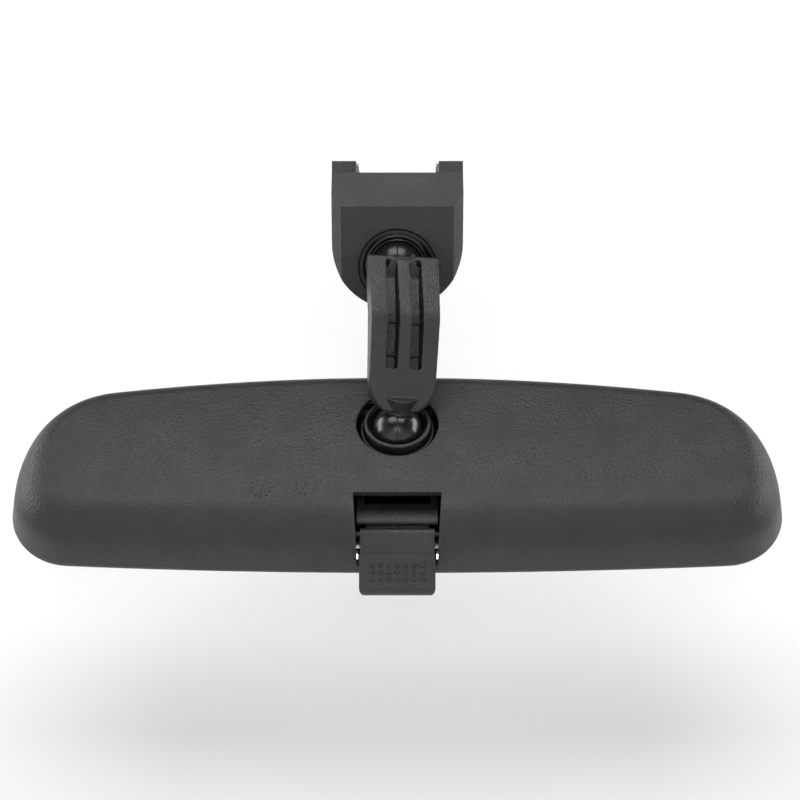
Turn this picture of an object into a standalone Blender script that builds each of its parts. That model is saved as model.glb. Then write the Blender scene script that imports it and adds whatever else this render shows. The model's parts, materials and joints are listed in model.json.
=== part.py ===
"""Interior rearview mirror: a prism day/night mirror on a ribbed double-ball arm, with a windshield mount.

The origin is the middle of the face that lies on the windshield. +X is the width, +Z is up, and the glass
looks along +Y, so the back of the case, with the arm and the lever, looks along -Y.
"""

import math

import bmesh
import bpy
from mathutils import Matrix, Vector

MM = 0.001
DEGREE = math.pi / 180

# Clearances
GAP = 0.3 * MM  # between pieces that touch on the real object
BALL_GAP = 0.3 * MM  # between a ball and its seat

# Windshield mount
GLASS_RAKE = 30 * DEGREE  # the windshield's slope from level
MOUNT_WIDTH = 43 * MM
MOUNT_LENGTH = 28 * MM  # along the windshield
MOUNT_THICKNESS = 17.5 * MM  # behind the socket's face
MOUNT_CHAMFER = 4 * MM  # on the two side edges of the front
KNEE_DISTANCE = 20.3 * MM  # from the socket's centre to the edge under the notch
END_RADIUS = MOUNT_WIDTH / 2  # of the round lower end
END_OFFSET = 7 * MM  # from the socket's centre to the round end's centre
CHANNEL_WIDTH = 27 * MM
CHANNEL_DEPTH = 3.9 * MM
CHANNEL_LIP = 1.5 * MM  # plastic in front of and behind the metal channel
CHANNEL_SHEET = 0.9 * MM
RAIL_LIP = 0.8 * MM
SCREW_SPACING = 15 * MM
SCREW_RADIUS = 1.5 * MM
SCREW_HEAD_RADIUS = 2.7 * MM
SCREW_HEAD_HEIGHT = 0.8 * MM
SCREW_LENGTH = 7 * MM
CLIP_WIDTH = 8 * MM
CLIP_SHEET = 0.5 * MM
CLIP_RISE = 1.4 * MM
CLIP_LENGTH = 17 * MM

# Ball arm
BALL_RADIUS = 8.5 * MM
BALL_SPACING = 56.7 * MM
ARM_LEAN = 22 * DEGREE  # from upright, the upper ball forward of the lower one
ARM_TWIST = 8.5 * DEGREE  # how far the arm is turned in its two sockets
ARM_HALF_TOP = 11.5 * MM
ARM_HALF_FOOT = 10.7 * MM
LOWER_NECK_RADIUS = 4.3 * MM
UPPER_NECK_RADIUS = 4.5 * MM
LOWER_NECK_LEAN = 28 * DEGREE  # from the line straight out of the case
UPPER_NECK_LEAN = 53 * DEGREE
SLOT_WIDTH = 3.6 * MM
CENTRE_RIB = 4.1 * MM
NECK_LENGTH = 13 * MM  # from each ball's centre to inside the arm

# Upper socket
SOCKET_FORWARD = 7.6 * MM  # of the ball from the mount's middle, along the windshield
SOCKET_DROP = 33.4 * MM  # of the ball from the windshield
SOCKET_TILT = 33 * DEGREE  # of the socket's axis from straight down
SOCKET_SINK = 3 * MM  # of the ball's centre behind the face
CUP_RADIUS = BALL_RADIUS + 3.2 * MM
CUP_WALL = 1.1 * MM  # under the ball
CUP_LIP_HEIGHT = 1.7 * MM  # past the ball's centre
RETAINER_HEIGHT = 0.6 * MM
RETAINER_BITE = 0.7 * MM
SPRING_HEIGHT = 0.6 * MM
SPRING_ROOM = 1.2 * MM

# Lower socket
LINER_WALL = 0.6 * MM
LINER_LIP_HEIGHT = 2.6 * MM
LINER_DRAIN_RADIUS = 4.5 * MM
TUBE_WALL = 0.9 * MM
TUBE_HEIGHT = 4.5 * MM  # past the ball's centre
CLAMP_WIDTH = 4 * MM
CLAMP_THICKNESS = 1 * MM
BRACKET_TILT = 5 * DEGREE  # to the case, in the day position

# Toggle bracket
BRACKET_HALF = 12.6 * MM
BRACKET_TOP = -5.6 * MM
BRACKET_SHEET = 1.8 * MM
BRACKET_FOOT = -32.7 * MM
BRACKET_WINDOW_HALF = 10.4 * MM
HINGE_UP = 14 * MM
HINGE_DEPTH = -7.7 * MM
KNUCKLE_RADIUS = 2.6 * MM
HINGE_PIN_RADIUS = 1.5 * MM

# Case
HEAD_HALF = 122.8 * MM
HEAD_TOP = 22.9 * MM  # from the lower ball's centre
HEAD_FOOT = -43.6 * MM
TOP_CROWN = 11.18 * MM  # how far the top's bow drops at the ends
FOOT_CROWN = 3.59 * MM
TOP_CROWN_RADIUS = (HEAD_HALF**2 + TOP_CROWN**2) / (2 * TOP_CROWN)
FOOT_CROWN_RADIUS = (HEAD_HALF**2 + FOOT_CROWN**2) / (2 * FOOT_CROWN)
TOP_CORNER = 36 * MM
FOOT_CORNER = 20 * MM
RIM_DEPTH = -18.5 * MM
BACK_HEIGHT = 4.8 * MM
RIM_RADIUS = 4 * MM
FOOT_SHOULDER = 13.5 * MM  # where the back turns into the foot and the ends
FOOT_DRAFT = 12 * DEGREE
TOP_SHOULDER = 6 * MM
TOP_DRAFT = 5 * DEGREE
CASE_WALL = 2.2 * MM
LIP_THICKNESS = 0.8 * MM
LIP_OVERLAP = 1.6 * MM
BALL_HOLE_RADIUS = BALL_RADIUS + 4.45 * MM
LUG_WIDTH = 2.6 * MM

# Glass
GLASS_FOOT = 2.4 * MM
GLASS_HEAD = 4.8 * MM
COATING = 0.2 * MM
PAD_LENGTH = 0.5 * HEAD_HALF
PAD_HEIGHT = 30 * MM
PAD_THICKNESS = 2.6 * MM
PAD_MIDDLE = 0.55 * HEAD_HALF
PAD_LEVEL = -12 * MM

# Lever
LEVER_WIDTH = 23.6 * MM
LEVER_WINDOW_WIDTH = LEVER_WIDTH + 4 * MM  # at its top
LEVER_WINDOW_TAPER = 1.3 * MM  # on each side, down to the foot
LEVER_WINDOW_TOP = -26.7 * MM
LEVER_WINDOW_DEPTH = -12.3 * MM
LEVER_UP = -35.4 * MM
LEVER_DEPTH = -6.2 * MM
LEVER_TILT = 24 * DEGREE
HUB_RADIUS = 1.9 * MM
LEVER_PIN_RADIUS = 0.9 * MM
PLATE_LENGTH = 6.6 * MM
PLATE_THICKNESS = 2.7 * MM
TAB_REACH = 19.1 * MM
TAB_RISE = 0.9 * MM
TAB_THICKNESS = 4.5 * MM
TAB_CORNER = 1.4 * MM  # of the end's lower edge, and half of its upper edge
TAB_PLAN_CORNER = 2 * MM
FINGER_REACH = 7.1 * MM
FINGER_RADIUS = 1 * MM
LEAF_THICKNESS = 0.5 * MM
LEAF_WIDTH = 2.6 * MM

SIDE = Matrix(((0, 0, 1, 0), (1, 0, 0, 0), (0, 1, 0, 0), (0, 0, 0, 1)))  # turns (y, z, x) into (x, y, z)

MOUNT_FRAME = Matrix.Rotation(GLASS_RAKE, 4, "X")
UPPER_BALL = MOUNT_FRAME @ Vector((0, -SOCKET_FORWARD, -SOCKET_DROP))
LOWER_BALL = UPPER_BALL + BALL_SPACING * Vector((0, math.sin(ARM_LEAN), -math.cos(ARM_LEAN)))
CUP_FRAME = Matrix.Translation(UPPER_BALL) @ Matrix.Rotation(math.pi - SOCKET_TILT, 4, "X")
# In the case's frame x is the width, y is up and z comes out of the back.
CASE_FRAME = Matrix.Translation(LOWER_BALL) @ Matrix.Rotation(math.pi / 2, 4, "X")
BRACKET_FRAME = CASE_FRAME @ Matrix.Rotation(-BRACKET_TILT, 4, "X")
ARM_FRAME = (
    Matrix.Translation(LOWER_BALL)
    @ Matrix.Rotation(ARM_TWIST, 4, UPPER_BALL - LOWER_BALL)
    @ Matrix.Rotation(math.pi / 2, 4, "X")
)
LEVER_FRAME = (
    CASE_FRAME @ Matrix.Translation((0, LEVER_UP, LEVER_DEPTH)) @ Matrix.Rotation(LEVER_TILT, 4, "X")
)

SEAT_RADIUS = BALL_RADIUS + BALL_GAP
LINER_RADIUS = SEAT_RADIUS + LINER_WALL
LINER_SEAT = LINER_RADIUS + GAP
TUBE_RADIUS = LINER_SEAT + TUBE_WALL


def new_collection(name):
    collection = bpy.data.collections.new(name)
    bpy.context.scene.collection.children.link(collection)
    return collection


def make_material(name, color, roughness, metallic=0.0):
    material = bpy.data.materials.new(name)
    material.use_nodes = True
    shader = material.node_tree.nodes["Principled BSDF"]
    shader.inputs["Base Color"].default_value = (*color, 1)
    shader.inputs["Roughness"].default_value = roughness
    shader.inputs["Metallic"].default_value = metallic
    return material


def add_mesh(name, mesh, frame, collection):
    piece = bpy.data.objects.new(name, mesh)
    piece.matrix_world = frame
    collection.objects.link(piece)
    return piece


def as_helper(piece):
    """Hides a cutter or a shape that a Boolean joins to a piece."""
    for collection in list(piece.users_collection):
        collection.objects.unlink(piece)
    HELPERS.objects.link(piece)
    piece.hide_render = True
    piece.display_type = "WIRE"
    return piece


def combine(piece, other, operation):
    as_helper(other)
    modifier = piece.modifiers.new(other.name, "BOOLEAN")
    modifier.operation = operation
    modifier.object = other


def cut(piece, *cutters):
    for cutter in cutters:
        combine(piece, cutter, "DIFFERENCE")


def join(piece, *others):
    for other in others:
        combine(piece, other, "UNION")


def finish(piece, material):
    piece.data.materials.clear()
    piece.data.materials.append(material)
    piece.data.shade_smooth()
    piece.data.set_sharp_from_angle(angle=30 * DEGREE)


def plate(name, outline, low, high, frame):
    """A flat outline of (x, y) points of the frame, solid from z = low to z = high."""
    curve = bpy.data.curves.new(name, "CURVE")
    curve.dimensions = "2D"
    curve.fill_mode = "BOTH"
    curve.extrude = (high - low) / 2
    spline = curve.splines.new("POLY")
    spline.points.add(len(outline) - 1)
    for point, (x, y) in zip(spline.points, outline):
        point.co = (x, y, 0, 1)
    spline.use_cyclic_u = True
    guide = add_mesh(name + "_outline", curve, frame @ Matrix.Translation((0, 0, (low + high) / 2)), MIRROR)
    bpy.context.view_layer.update()
    mesh = bpy.data.meshes.new_from_object(guide.evaluated_get(bpy.context.evaluated_depsgraph_get()))
    shape = bmesh.new()
    shape.from_mesh(mesh)
    bmesh.ops.remove_doubles(shape, verts=shape.verts, dist=1e-6)
    bmesh.ops.recalc_face_normals(shape, faces=shape.faces)
    if shape.calc_volume(signed=True) < 0:
        bmesh.ops.reverse_faces(shape, faces=shape.faces)
    shape.to_mesh(mesh)
    shape.free()
    placed = guide.matrix_world.copy()
    bpy.data.objects.remove(guide)
    return add_mesh(name, mesh, placed, MIRROR)


def side_plate(name, outline, half_width, frame, middle=0):
    """A side outline of (y, z) points of the frame, solid across the width."""
    return plate(name, outline, middle - half_width, middle + half_width, frame @ SIDE)


def box(name, low, high, frame):
    outline = [(low[0], low[1]), (high[0], low[1]), (high[0], high[1]), (low[0], high[1])]
    return plate(name, outline, low[2], high[2], frame)


def cylinder(name, radius, low, high, frame, segments=24):
    mesh = bpy.data.meshes.new(name)
    shape = bmesh.new()
    bmesh.ops.create_cone(
        shape, cap_ends=True, segments=segments, radius1=radius, radius2=radius, depth=high - low
    )
    shape.to_mesh(mesh)
    shape.free()
    return add_mesh(name, mesh, frame @ Matrix.Translation((0, 0, (low + high) / 2)), MIRROR)


def cross_pin(name, radius, half_length, y, z, frame, segments=16):
    """A cylinder along the width, through the point (y, z) of the frame."""
    turned_frame = frame @ Matrix.Translation((0, y, z)) @ Matrix.Rotation(math.pi / 2, 4, "Y")
    return cylinder(name, radius, -half_length, half_length, turned_frame, segments)


def ball(name, radius, centre):
    mesh = bpy.data.meshes.new(name)
    shape = bmesh.new()
    bmesh.ops.create_uvsphere(shape, u_segments=24, v_segments=14, radius=radius)
    shape.to_mesh(mesh)
    shape.free()
    return add_mesh(name, mesh, Matrix.Translation(centre), MIRROR)


def turned(name, profile, frame, closed, steps=28):
    """A profile of (radius, height) points turned about the frame's z axis. It runs down the outer side."""
    mesh = bpy.data.meshes.new(name)
    edges = [(i, i + 1) for i in range(len(profile) - 1)]
    if closed:
        edges.append((len(profile) - 1, 0))
    mesh.from_pydata([(radius, 0, height) for radius, height in profile], edges, [])
    piece = add_mesh(name, mesh, frame, MIRROR)
    screw = piece.modifiers.new("Turn", "SCREW")
    screw.axis = "Z"
    screw.steps = screw.render_steps = steps
    screw.use_merge_vertices = True
    screw.merge_threshold = 1e-6
    screw.use_normal_calculate = False
    return piece


def arc(centre, radius, start, end, steps):
    """Points on an arc, from the angle start to the angle end."""
    angles = [start + (end - start) * i / steps for i in range(steps + 1)]
    return [(centre[0] + radius * math.cos(a), centre[1] + radius * math.sin(a)) for a in angles]


def on_sphere(radius, height):
    """The angle from the equator at which a sphere reaches a height, and its radius there."""
    return math.asin(height / radius), math.sqrt(radius**2 - height**2)


def side_point(frame, y, z):
    """A point of the frame's middle plane, as (y, z) of the world."""
    point = frame @ Vector((0, y, z))
    return point.y, point.z


# Windshield mount


def make_mount_cover():
    face = SOCKET_SINK
    back = face - MOUNT_THICKNESS
    beyond = END_RADIUS
    half_length = MOUNT_LENGTH / 2
    outline = [
        side_point(MOUNT_FRAME, -half_length, 0),
        side_point(MOUNT_FRAME, -half_length, -CHANNEL_DEPTH),
        side_point(CUP_FRAME, KNEE_DISTANCE, face),
        side_point(CUP_FRAME, -beyond, face),
        side_point(CUP_FRAME, -beyond, back),
        side_point(CUP_FRAME, 0, back),
        side_point(MOUNT_FRAME, half_length, 0),
    ]
    cover = side_plate("mount_cover", outline, MOUNT_WIDTH / 2, Matrix())
    half = MOUNT_WIDTH / 2
    chamfer = MOUNT_CHAMFER
    far = 2 * MOUNT_LENGTH
    round_end = arc((0, END_OFFSET), END_RADIUS, -math.pi, 0, 18)
    combine(cover, plate("mount_front", [*round_end, (half, far), (-half, far)], -far, far, CUP_FRAME), "INTERSECT")
    for side in (-1, 1):
        edge = [
            (side * (half - chamfer), face + MM),
            (side * (half + MM), face + MM),
            (side * (half + MM), face - chamfer - MM),
        ]
        across = CUP_FRAME @ Matrix.Rotation(math.pi / 2, 4, "X")
        cut(cover, plate(f"mount_chamfer_{side}", edge, -far, far, across))
    inner = CHANNEL_WIDTH / 2 + CHANNEL_SHEET + GAP
    cut(
        cover,
        box("notch", (-CHANNEL_WIDTH / 2, -far, -CHANNEL_DEPTH), (CHANNEL_WIDTH / 2, 0, far), MOUNT_FRAME),
        box(
            "channel_recess",
            (-inner, -half_length + CHANNEL_LIP, -CHANNEL_DEPTH - CHANNEL_SHEET - GAP),
            (inner, half_length - CHANNEL_LIP, far),
            MOUNT_FRAME,
        ),
        cylinder("cup_bore", CUP_RADIUS + GAP, cup_bore_floor(), far, CUP_FRAME, 32),
        cylinder("retainer_groove", retainer_radius() + GAP, retainer_foot() - GAP, far, CUP_FRAME, 32),
    )
    for side in (-1, 1):
        place = MOUNT_FRAME @ Matrix.Translation((side * SCREW_SPACING / 2, 0, 0))
        cut(cover, cylinder(f"screw_hole_{side}", SCREW_RADIUS + GAP, screw_tip() - GAP, 0, place, 12))
    finish(cover, BLACK_PLASTIC)


def cup_floor():
    return -SEAT_RADIUS - CUP_WALL


def cup_bore_floor():
    return cup_floor() - SPRING_ROOM - GAP


def retainer_foot():
    """The retaining ring sits on the cup's flange, just inside the socket's face."""
    return SOCKET_SINK - RETAINER_HEIGHT - GAP


def retainer_radius():
    return CUP_RADIUS + RETAINER_BITE


def screw_tip():
    return -CHANNEL_DEPTH - SCREW_LENGTH


def make_button_channel():
    half = CHANNEL_WIDTH / 2
    sheet = CHANNEL_SHEET
    floor = -CHANNEL_DEPTH
    top = -GAP
    length = MOUNT_LENGTH - 2 * CHANNEL_LIP - 2 * GAP
    section = [
        (-half - sheet, floor - sheet),
        (half + sheet, floor - sheet),
        (half + sheet, top),
        (half - RAIL_LIP, top),
        (half - RAIL_LIP, top - sheet),
        (half, top - sheet),
        (half, floor),
        (-half, floor),
        (-half, top - sheet),
        (-half + RAIL_LIP, top - sheet),
        (-half + RAIL_LIP, top),
        (-half - sheet, top),
    ]
    along = Matrix.Rotation(math.pi / 2, 4, "X")
    channel = plate("button_channel", section, -length / 2, length / 2, MOUNT_FRAME @ along)
    for side in (-1, 1):
        place = MOUNT_FRAME @ Matrix.Translation((side * SCREW_SPACING / 2, 0, 0))
        cut(channel, cylinder(f"channel_hole_{side}", SCREW_RADIUS + GAP, 2 * floor, 0, place, 12))
    finish(channel, STEEL)


def make_channel_screws():
    for side, name in ((-1, "left"), (1, "right")):
        place = MOUNT_FRAME @ Matrix.Translation((side * SCREW_SPACING / 2, 0, 0))
        seat = -CHANNEL_DEPTH + GAP
        top = seat + SCREW_HEAD_HEIGHT
        profile = [(0, top), (SCREW_HEAD_RADIUS * 0.8, top), (SCREW_HEAD_RADIUS, top - 0.3 * MM)]
        profile += [(SCREW_HEAD_RADIUS, seat), (SCREW_RADIUS, seat)]
        profile += [(SCREW_RADIUS, screw_tip() + SCREW_RADIUS), (0, screw_tip())]
        finish(turned(f"channel_screw_{name}", profile, place, False, 12), STEEL)


def make_button_spring_clip():
    """A bowed strip between the screws that presses on the button."""
    foot = -CHANNEL_DEPTH + GAP
    rise = CLIP_RISE
    radius = ((CLIP_LENGTH / 2) ** 2 + rise**2) / (2 * rise)
    half_angle = math.asin(CLIP_LENGTH / 2 / radius)
    centre = (0, foot + rise - radius)
    start, end = math.pi / 2 + half_angle, math.pi / 2 - half_angle
    upper = arc(centre, radius + CLIP_SHEET, start, end, 8)
    lower = arc(centre, radius, end, start, 8)
    finish(side_plate("button_spring_clip", upper + lower, CLIP_WIDTH / 2, MOUNT_FRAME), STEEL)


# Upper socket


def make_upper_ball_cup():
    angle, lip_radius = on_sphere(SEAT_RADIUS, CUP_LIP_HEIGHT)
    flange = retainer_foot() - GAP
    moat = CUP_LIP_HEIGHT - MM
    profile = arc((0, 0), SEAT_RADIUS, -math.pi / 2, angle, 8)
    profile[0] = (0, -SEAT_RADIUS)
    profile += [(lip_radius + 0.7 * MM, CUP_LIP_HEIGHT), (lip_radius + 1.3 * MM, moat)]
    profile += [(CUP_RADIUS - 1.1 * MM, moat), (CUP_RADIUS - 0.7 * MM, flange), (CUP_RADIUS, flange)]
    profile += [(CUP_RADIUS, cup_floor() + MM), (CUP_RADIUS - MM, cup_floor()), (0, cup_floor())]
    finish(turned("upper_ball_cup", profile, CUP_FRAME, False), GLOSSY_BLACK)


def make_cup_retaining_ring():
    low = retainer_foot()
    high = low + RETAINER_HEIGHT
    outer = retainer_radius()
    inner = outer - 2 * RETAINER_BITE
    profile = [(outer, high), (outer, low), (inner, low), (inner, high)]
    finish(turned("cup_retaining_ring", profile, CUP_FRAME, True), STEEL)


def make_cup_wave_spring():
    high = cup_floor() - (SPRING_ROOM - SPRING_HEIGHT) / 2
    low = high - SPRING_HEIGHT
    outer = CUP_RADIUS - MM
    inner = outer - 3 * MM
    profile = [(outer, high), (outer, low), (inner, low), (inner, high)]
    finish(turned("cup_wave_spring", profile, CUP_FRAME, True), STEEL)


# Ball arm


def neck(name, radius, start, lean):
    """A round neck from a ball's centre, leaning in the side plane of the arm."""
    place = ARM_FRAME @ Matrix.Translation((0, *start)) @ Matrix.Rotation(-lean, 4, "X")
    return cylinder(name, radius, 0, NECK_LENGTH, place, 20)


def near_upper(y, z):
    """A point given from the upper ball's centre, in the arm's side plane."""
    up = UPPER_BALL - LOWER_BALL
    return up.z + y, z - up.y


def arm_side():
    """The arm's side outline in its own frame: up the outer side, over the end and back down inside."""
    outer = [(-0.1 * MM, 8.9 * MM), (19.5 * MM, 26.8 * MM), (23.4 * MM, 29.6 * MM)]
    outer += [(27.5 * MM, 31 * MM), near_upper(-5.8 * MM, 11.4 * MM)]
    inner = [near_upper(-6.2 * MM, 6.6 * MM), near_upper(-12.6 * MM, 3.8 * MM)]
    return outer + inner + [(30 * MM, 22.6 * MM), (11 * MM, 11.4 * MM), (5.2 * MM, 9.2 * MM)]


def arm_slot():
    """The side outline of the slots beside the centre rib, open to the outer side."""
    high = near_upper(-7.6 * MM, 7.4 * MM)
    beyond = high[1] + 16 * MM
    foot = 10.8 * MM
    return [(foot, beyond), (foot, 13.9 * MM), (28 * MM, 24.6 * MM), high, (high[0], beyond)]


def make_ball_arm():
    arm = side_plate("ball_arm", arm_side(), ARM_HALF_TOP + MM, ARM_FRAME)
    foot, round_height = 8.6 * MM, 8.9 * MM
    end = [
        (ARM_HALF_FOOT * math.cos(a), foot - round_height * math.sin(a))
        for a in [math.pi * i / 12 for i in range(13)]
    ]
    front = [(ARM_HALF_TOP, BALL_SPACING), *end, (-ARM_HALF_TOP, BALL_SPACING)]
    combine(arm, plate("arm_front", front[::-1], 0, BALL_SPACING, ARM_FRAME), "INTERSECT")
    join(
        arm,
        neck("lower_neck", LOWER_NECK_RADIUS, (0, 0), LOWER_NECK_LEAN),
        neck("upper_neck", UPPER_NECK_RADIUS, near_upper(0, 0), -UPPER_NECK_LEAN),
        ball("lower_ball", BALL_RADIUS, LOWER_BALL),
        ball("upper_ball", BALL_RADIUS, UPPER_BALL),
    )
    for side in (-1, 1):
        middle = side * (CENTRE_RIB + SLOT_WIDTH) / 2
        cut(arm, side_plate(f"arm_slot_{side}", arm_slot(), SLOT_WIDTH / 2, ARM_FRAME, middle))
    finish(arm, BLACK_PLASTIC)


# Lower socket and toggle bracket


def make_ball_socket_liner():
    inner_angle, inner_lip = on_sphere(SEAT_RADIUS, LINER_LIP_HEIGHT)
    outer_angle, outer_lip = on_sphere(LINER_RADIUS, LINER_LIP_HEIGHT)
    outer_foot = -math.acos(LINER_DRAIN_RADIUS / LINER_RADIUS)
    inner_foot = -math.acos(LINER_DRAIN_RADIUS / SEAT_RADIUS)
    profile = arc((0, 0), LINER_RADIUS, outer_angle, outer_foot, 7)
    profile += arc((0, 0), SEAT_RADIUS, inner_foot, inner_angle, 7)
    finish(turned("ball_socket_liner", profile, BRACKET_FRAME, True), GLOSSY_BLACK)


def hinge_in_bracket():
    """The hinge pin's place in the bracket's frame."""
    place = BRACKET_FRAME.inverted() @ CASE_FRAME @ Vector((0, HINGE_UP, HINGE_DEPTH))
    return place.y, place.z


def make_toggle_bracket():
    hinge_y, hinge_z = hinge_in_bracket()
    sheet = [
        (hinge_y, BRACKET_TOP),
        (hinge_y, BRACKET_TOP - BRACKET_SHEET),
        (BRACKET_FOOT, BRACKET_TOP - BRACKET_SHEET),
        (BRACKET_FOOT, BRACKET_TOP),
    ]
    bracket = side_plate("toggle_bracket", sheet[::-1], BRACKET_HALF, BRACKET_FRAME)
    tube = [(0, TUBE_HEIGHT), (TUBE_RADIUS - 0.2 * MM, TUBE_HEIGHT), (TUBE_RADIUS, TUBE_HEIGHT - 0.4 * MM)]
    tube += arc((0, 0), TUBE_RADIUS, 0, -math.pi / 2, 7)[:-1]
    tube += [(0, -TUBE_RADIUS)]
    angle, mouth = on_sphere(LINER_SEAT, TUBE_HEIGHT - 1.3 * MM)
    rim = TUBE_RADIUS - TUBE_WALL
    seat = [(0, 2 * TUBE_HEIGHT), (rim, 2 * TUBE_HEIGHT), (rim, TUBE_HEIGHT)]
    seat += arc((0, 0), LINER_SEAT, angle, -math.pi / 2, 9)[:-1]
    seat += [(0, -LINER_SEAT)]
    join(
        bracket,
        turned("socket_tube", tube, BRACKET_FRAME, False),
        cross_pin("hinge_knuckle", KNUCKLE_RADIUS, BRACKET_HALF - 0.7 * MM, hinge_y, hinge_z, BRACKET_FRAME),
    )
    window = (-TUBE_RADIUS - 1.8 * MM, BRACKET_FOOT + 7 * MM)
    cut(
        bracket,
        turned("liner_seat", seat, BRACKET_FRAME, False),
        box(
            "bracket_window",
            (-BRACKET_WINDOW_HALF, window[1], BRACKET_TOP - 2 * BRACKET_SHEET),
            (BRACKET_WINDOW_HALF, window[0], BRACKET_TOP + BRACKET_SHEET),
            BRACKET_FRAME,
        ),
        cross_pin("hinge_bore", HINGE_PIN_RADIUS + GAP, 2 * BRACKET_HALF, hinge_y, hinge_z, BRACKET_FRAME),
    )
    finish(bracket, BLACK_PLASTIC)


def make_socket_clamp_ring():
    inner = TUBE_RADIUS + GAP
    outer = inner + CLAMP_THICKNESS
    high = TUBE_HEIGHT - 3.2 * MM
    low = high - CLAMP_WIDTH
    profile = [(outer, high), (outer, low), (inner, low), (inner, high)]
    finish(turned("socket_clamp_ring", profile, BRACKET_FRAME, True), STEEL)


# Case


def facing_arc(centre, radius, start, end, steps):
    """Points on an arc, each with the angle that it faces."""
    points = arc(centre, radius, start, end, steps)
    return [(*point, start + (end - start) * i / steps) for i, point in enumerate(points)]


def case_outline():
    """The case's outline as (x, y, angle it faces): a crowned top, round corners and a bowed foot."""
    up = math.pi / 2
    x = HEAD_HALF - TOP_CORNER
    top_centre = HEAD_TOP - TOP_CROWN_RADIUS
    reach = math.asin(x / (TOP_CROWN_RADIUS - TOP_CORNER))
    corner_y = top_centre + (TOP_CROWN_RADIUS - TOP_CORNER) * math.cos(reach)
    foot_centre = HEAD_FOOT + FOOT_CROWN_RADIUS
    foot_corner = min(FOOT_CORNER, (corner_y - HEAD_FOOT) * 0.85)
    foot_x = HEAD_HALF - foot_corner
    foot_reach = math.asin(foot_x / (FOOT_CROWN_RADIUS - foot_corner))
    foot_y = foot_centre - (FOOT_CROWN_RADIUS - foot_corner) * math.cos(foot_reach)
    half = facing_arc((0, top_centre), TOP_CROWN_RADIUS, up, up - reach, 4)[:-1]
    half += facing_arc((x, corner_y), TOP_CORNER, up - reach, 0, 8)
    half += facing_arc((foot_x, foot_y), foot_corner, 0, -up + foot_reach, 6)
    half += facing_arc((0, foot_centre), FOOT_CROWN_RADIUS, -up + foot_reach, -up, 3)[1:]
    return half + [(-x, y, math.pi - angle) for x, y, angle in reversed(half[1:-1])]


def inset_ring(levels):
    """The case's outline set in and raised. levels is (height, inset) along the top, and along the foot."""
    ring = []
    for x, y, angle in case_outline():
        share = min(1, 1 - math.sin(angle))
        share = share * share * (3 - 2 * share)
        height, inset = ((1 - share) * top + share * foot for top, foot in zip(*levels))
        ring.append((x - math.cos(angle) * inset, y - math.sin(angle) * inset, height))
    return ring


def flat_outline(inset):
    return [(x, y) for x, y, _ in inset_ring(((0, inset), (0, inset)))]


def loft(name, levels, frame):
    """A solid through the case's outline at each level, from the rim to the back."""
    mesh = bpy.data.meshes.new(name)
    shape = bmesh.new()
    rings = [[shape.verts.new(point) for point in inset_ring(level)] for level in levels]
    count = len(rings[0])
    for lower, upper in zip(rings, rings[1:]):
        for i in range(count):
            after = (i + 1) % count
            shape.faces.new((lower[i], lower[after], upper[after], upper[i]))
    shape.faces.new(rings[0])
    shape.faces.new(rings[-1])
    bmesh.ops.recalc_face_normals(shape, faces=shape.faces)
    shape.to_mesh(mesh)
    shape.free()
    return add_mesh(name, mesh, frame, MIRROR)


def level(height, inset):
    """A level that is the same all round."""
    return (height, inset), (height, inset)


def shoulder(radius, draft, wall):
    """(height, inset) up the drafted wall and the round shoulder, a wall's thickness inside the outside."""
    height = BACK_HEIGHT - radius
    wall_length = height + radius * math.sin(draft) - (RIM_DEPTH + RIM_RADIUS)
    inset = wall_length * math.tan(draft) + radius * math.cos(draft)
    return [(z, inset - x) for x, z in arc((0, height), radius - wall, draft, math.pi / 2, 5)]


def shoulders(wall):
    return list(zip(shoulder(TOP_SHOULDER, TOP_DRAFT, wall), shoulder(FOOT_SHOULDER, FOOT_DRAFT, wall)))


def make_rear_housing():
    quarter = math.pi / 2
    rim = [level(z, RIM_RADIUS - x) for x, z in arc((0, RIM_DEPTH + RIM_RADIUS), RIM_RADIUS, -quarter, 0, 3)]
    housing = loft("rear_housing", rim + shoulders(0), CASE_FRAME)
    shelf = RIM_DEPTH + LIP_THICKNESS
    straight = [level(shelf, CASE_WALL), level(RIM_DEPTH + RIM_RADIUS, CASE_WALL)]
    cavity = loft("case_cavity", straight + shoulders(CASE_WALL), CASE_FRAME)
    lip = CASE_WALL + 2 * GAP + LIP_OVERLAP
    opening = loft("rim_opening", [level(RIM_DEPTH - MM, lip), level(shelf + MM, lip)], CASE_FRAME)
    cut(housing, cavity, opening, cylinder("ball_hole", BALL_HOLE_RADIUS, 0, 9 * MM, CASE_FRAME, 36))
    join(housing, *hinge_lugs(), *lever_lugs(), *pad_ribs())
    leaf_y, leaf_z = leaf_place()
    slot = Vector((0, LEAF_WIDTH / 2 + GAP, LEAF_THICKNESS / 2 + GAP))
    slot_half = leaf_half() + GAP
    cut(
        housing,
        plate("lever_window", lever_window(), LEVER_WINDOW_DEPTH, BACK_HEIGHT + MM, CASE_FRAME),
        cross_pin("hinge_pin_hole", HINGE_PIN_RADIUS + GAP, hinge_pin_half() + GAP, HINGE_UP, HINGE_DEPTH, CASE_FRAME),
        cross_pin("lever_pin_hole", LEVER_PIN_RADIUS + GAP, lever_pin_half() + GAP, LEVER_UP, LEVER_DEPTH, CASE_FRAME),
        box("leaf_slot", (-slot_half, leaf_y - slot.y, leaf_z - slot.z), (slot_half, leaf_y + slot.y, leaf_z + slot.z),
            CASE_FRAME),
    )
    finish(housing, BLACK_PLASTIC)


def lever_window():
    """The opening round the lever: wide at its top and narrower at the case's foot."""
    half = LEVER_WINDOW_WIDTH / 2
    narrow = half - LEVER_WINDOW_TAPER
    foot = HEAD_FOOT - MM
    return [(half, LEVER_WINDOW_TOP), (narrow, foot), (-narrow, foot), (-half, LEVER_WINDOW_TOP)]


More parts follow.
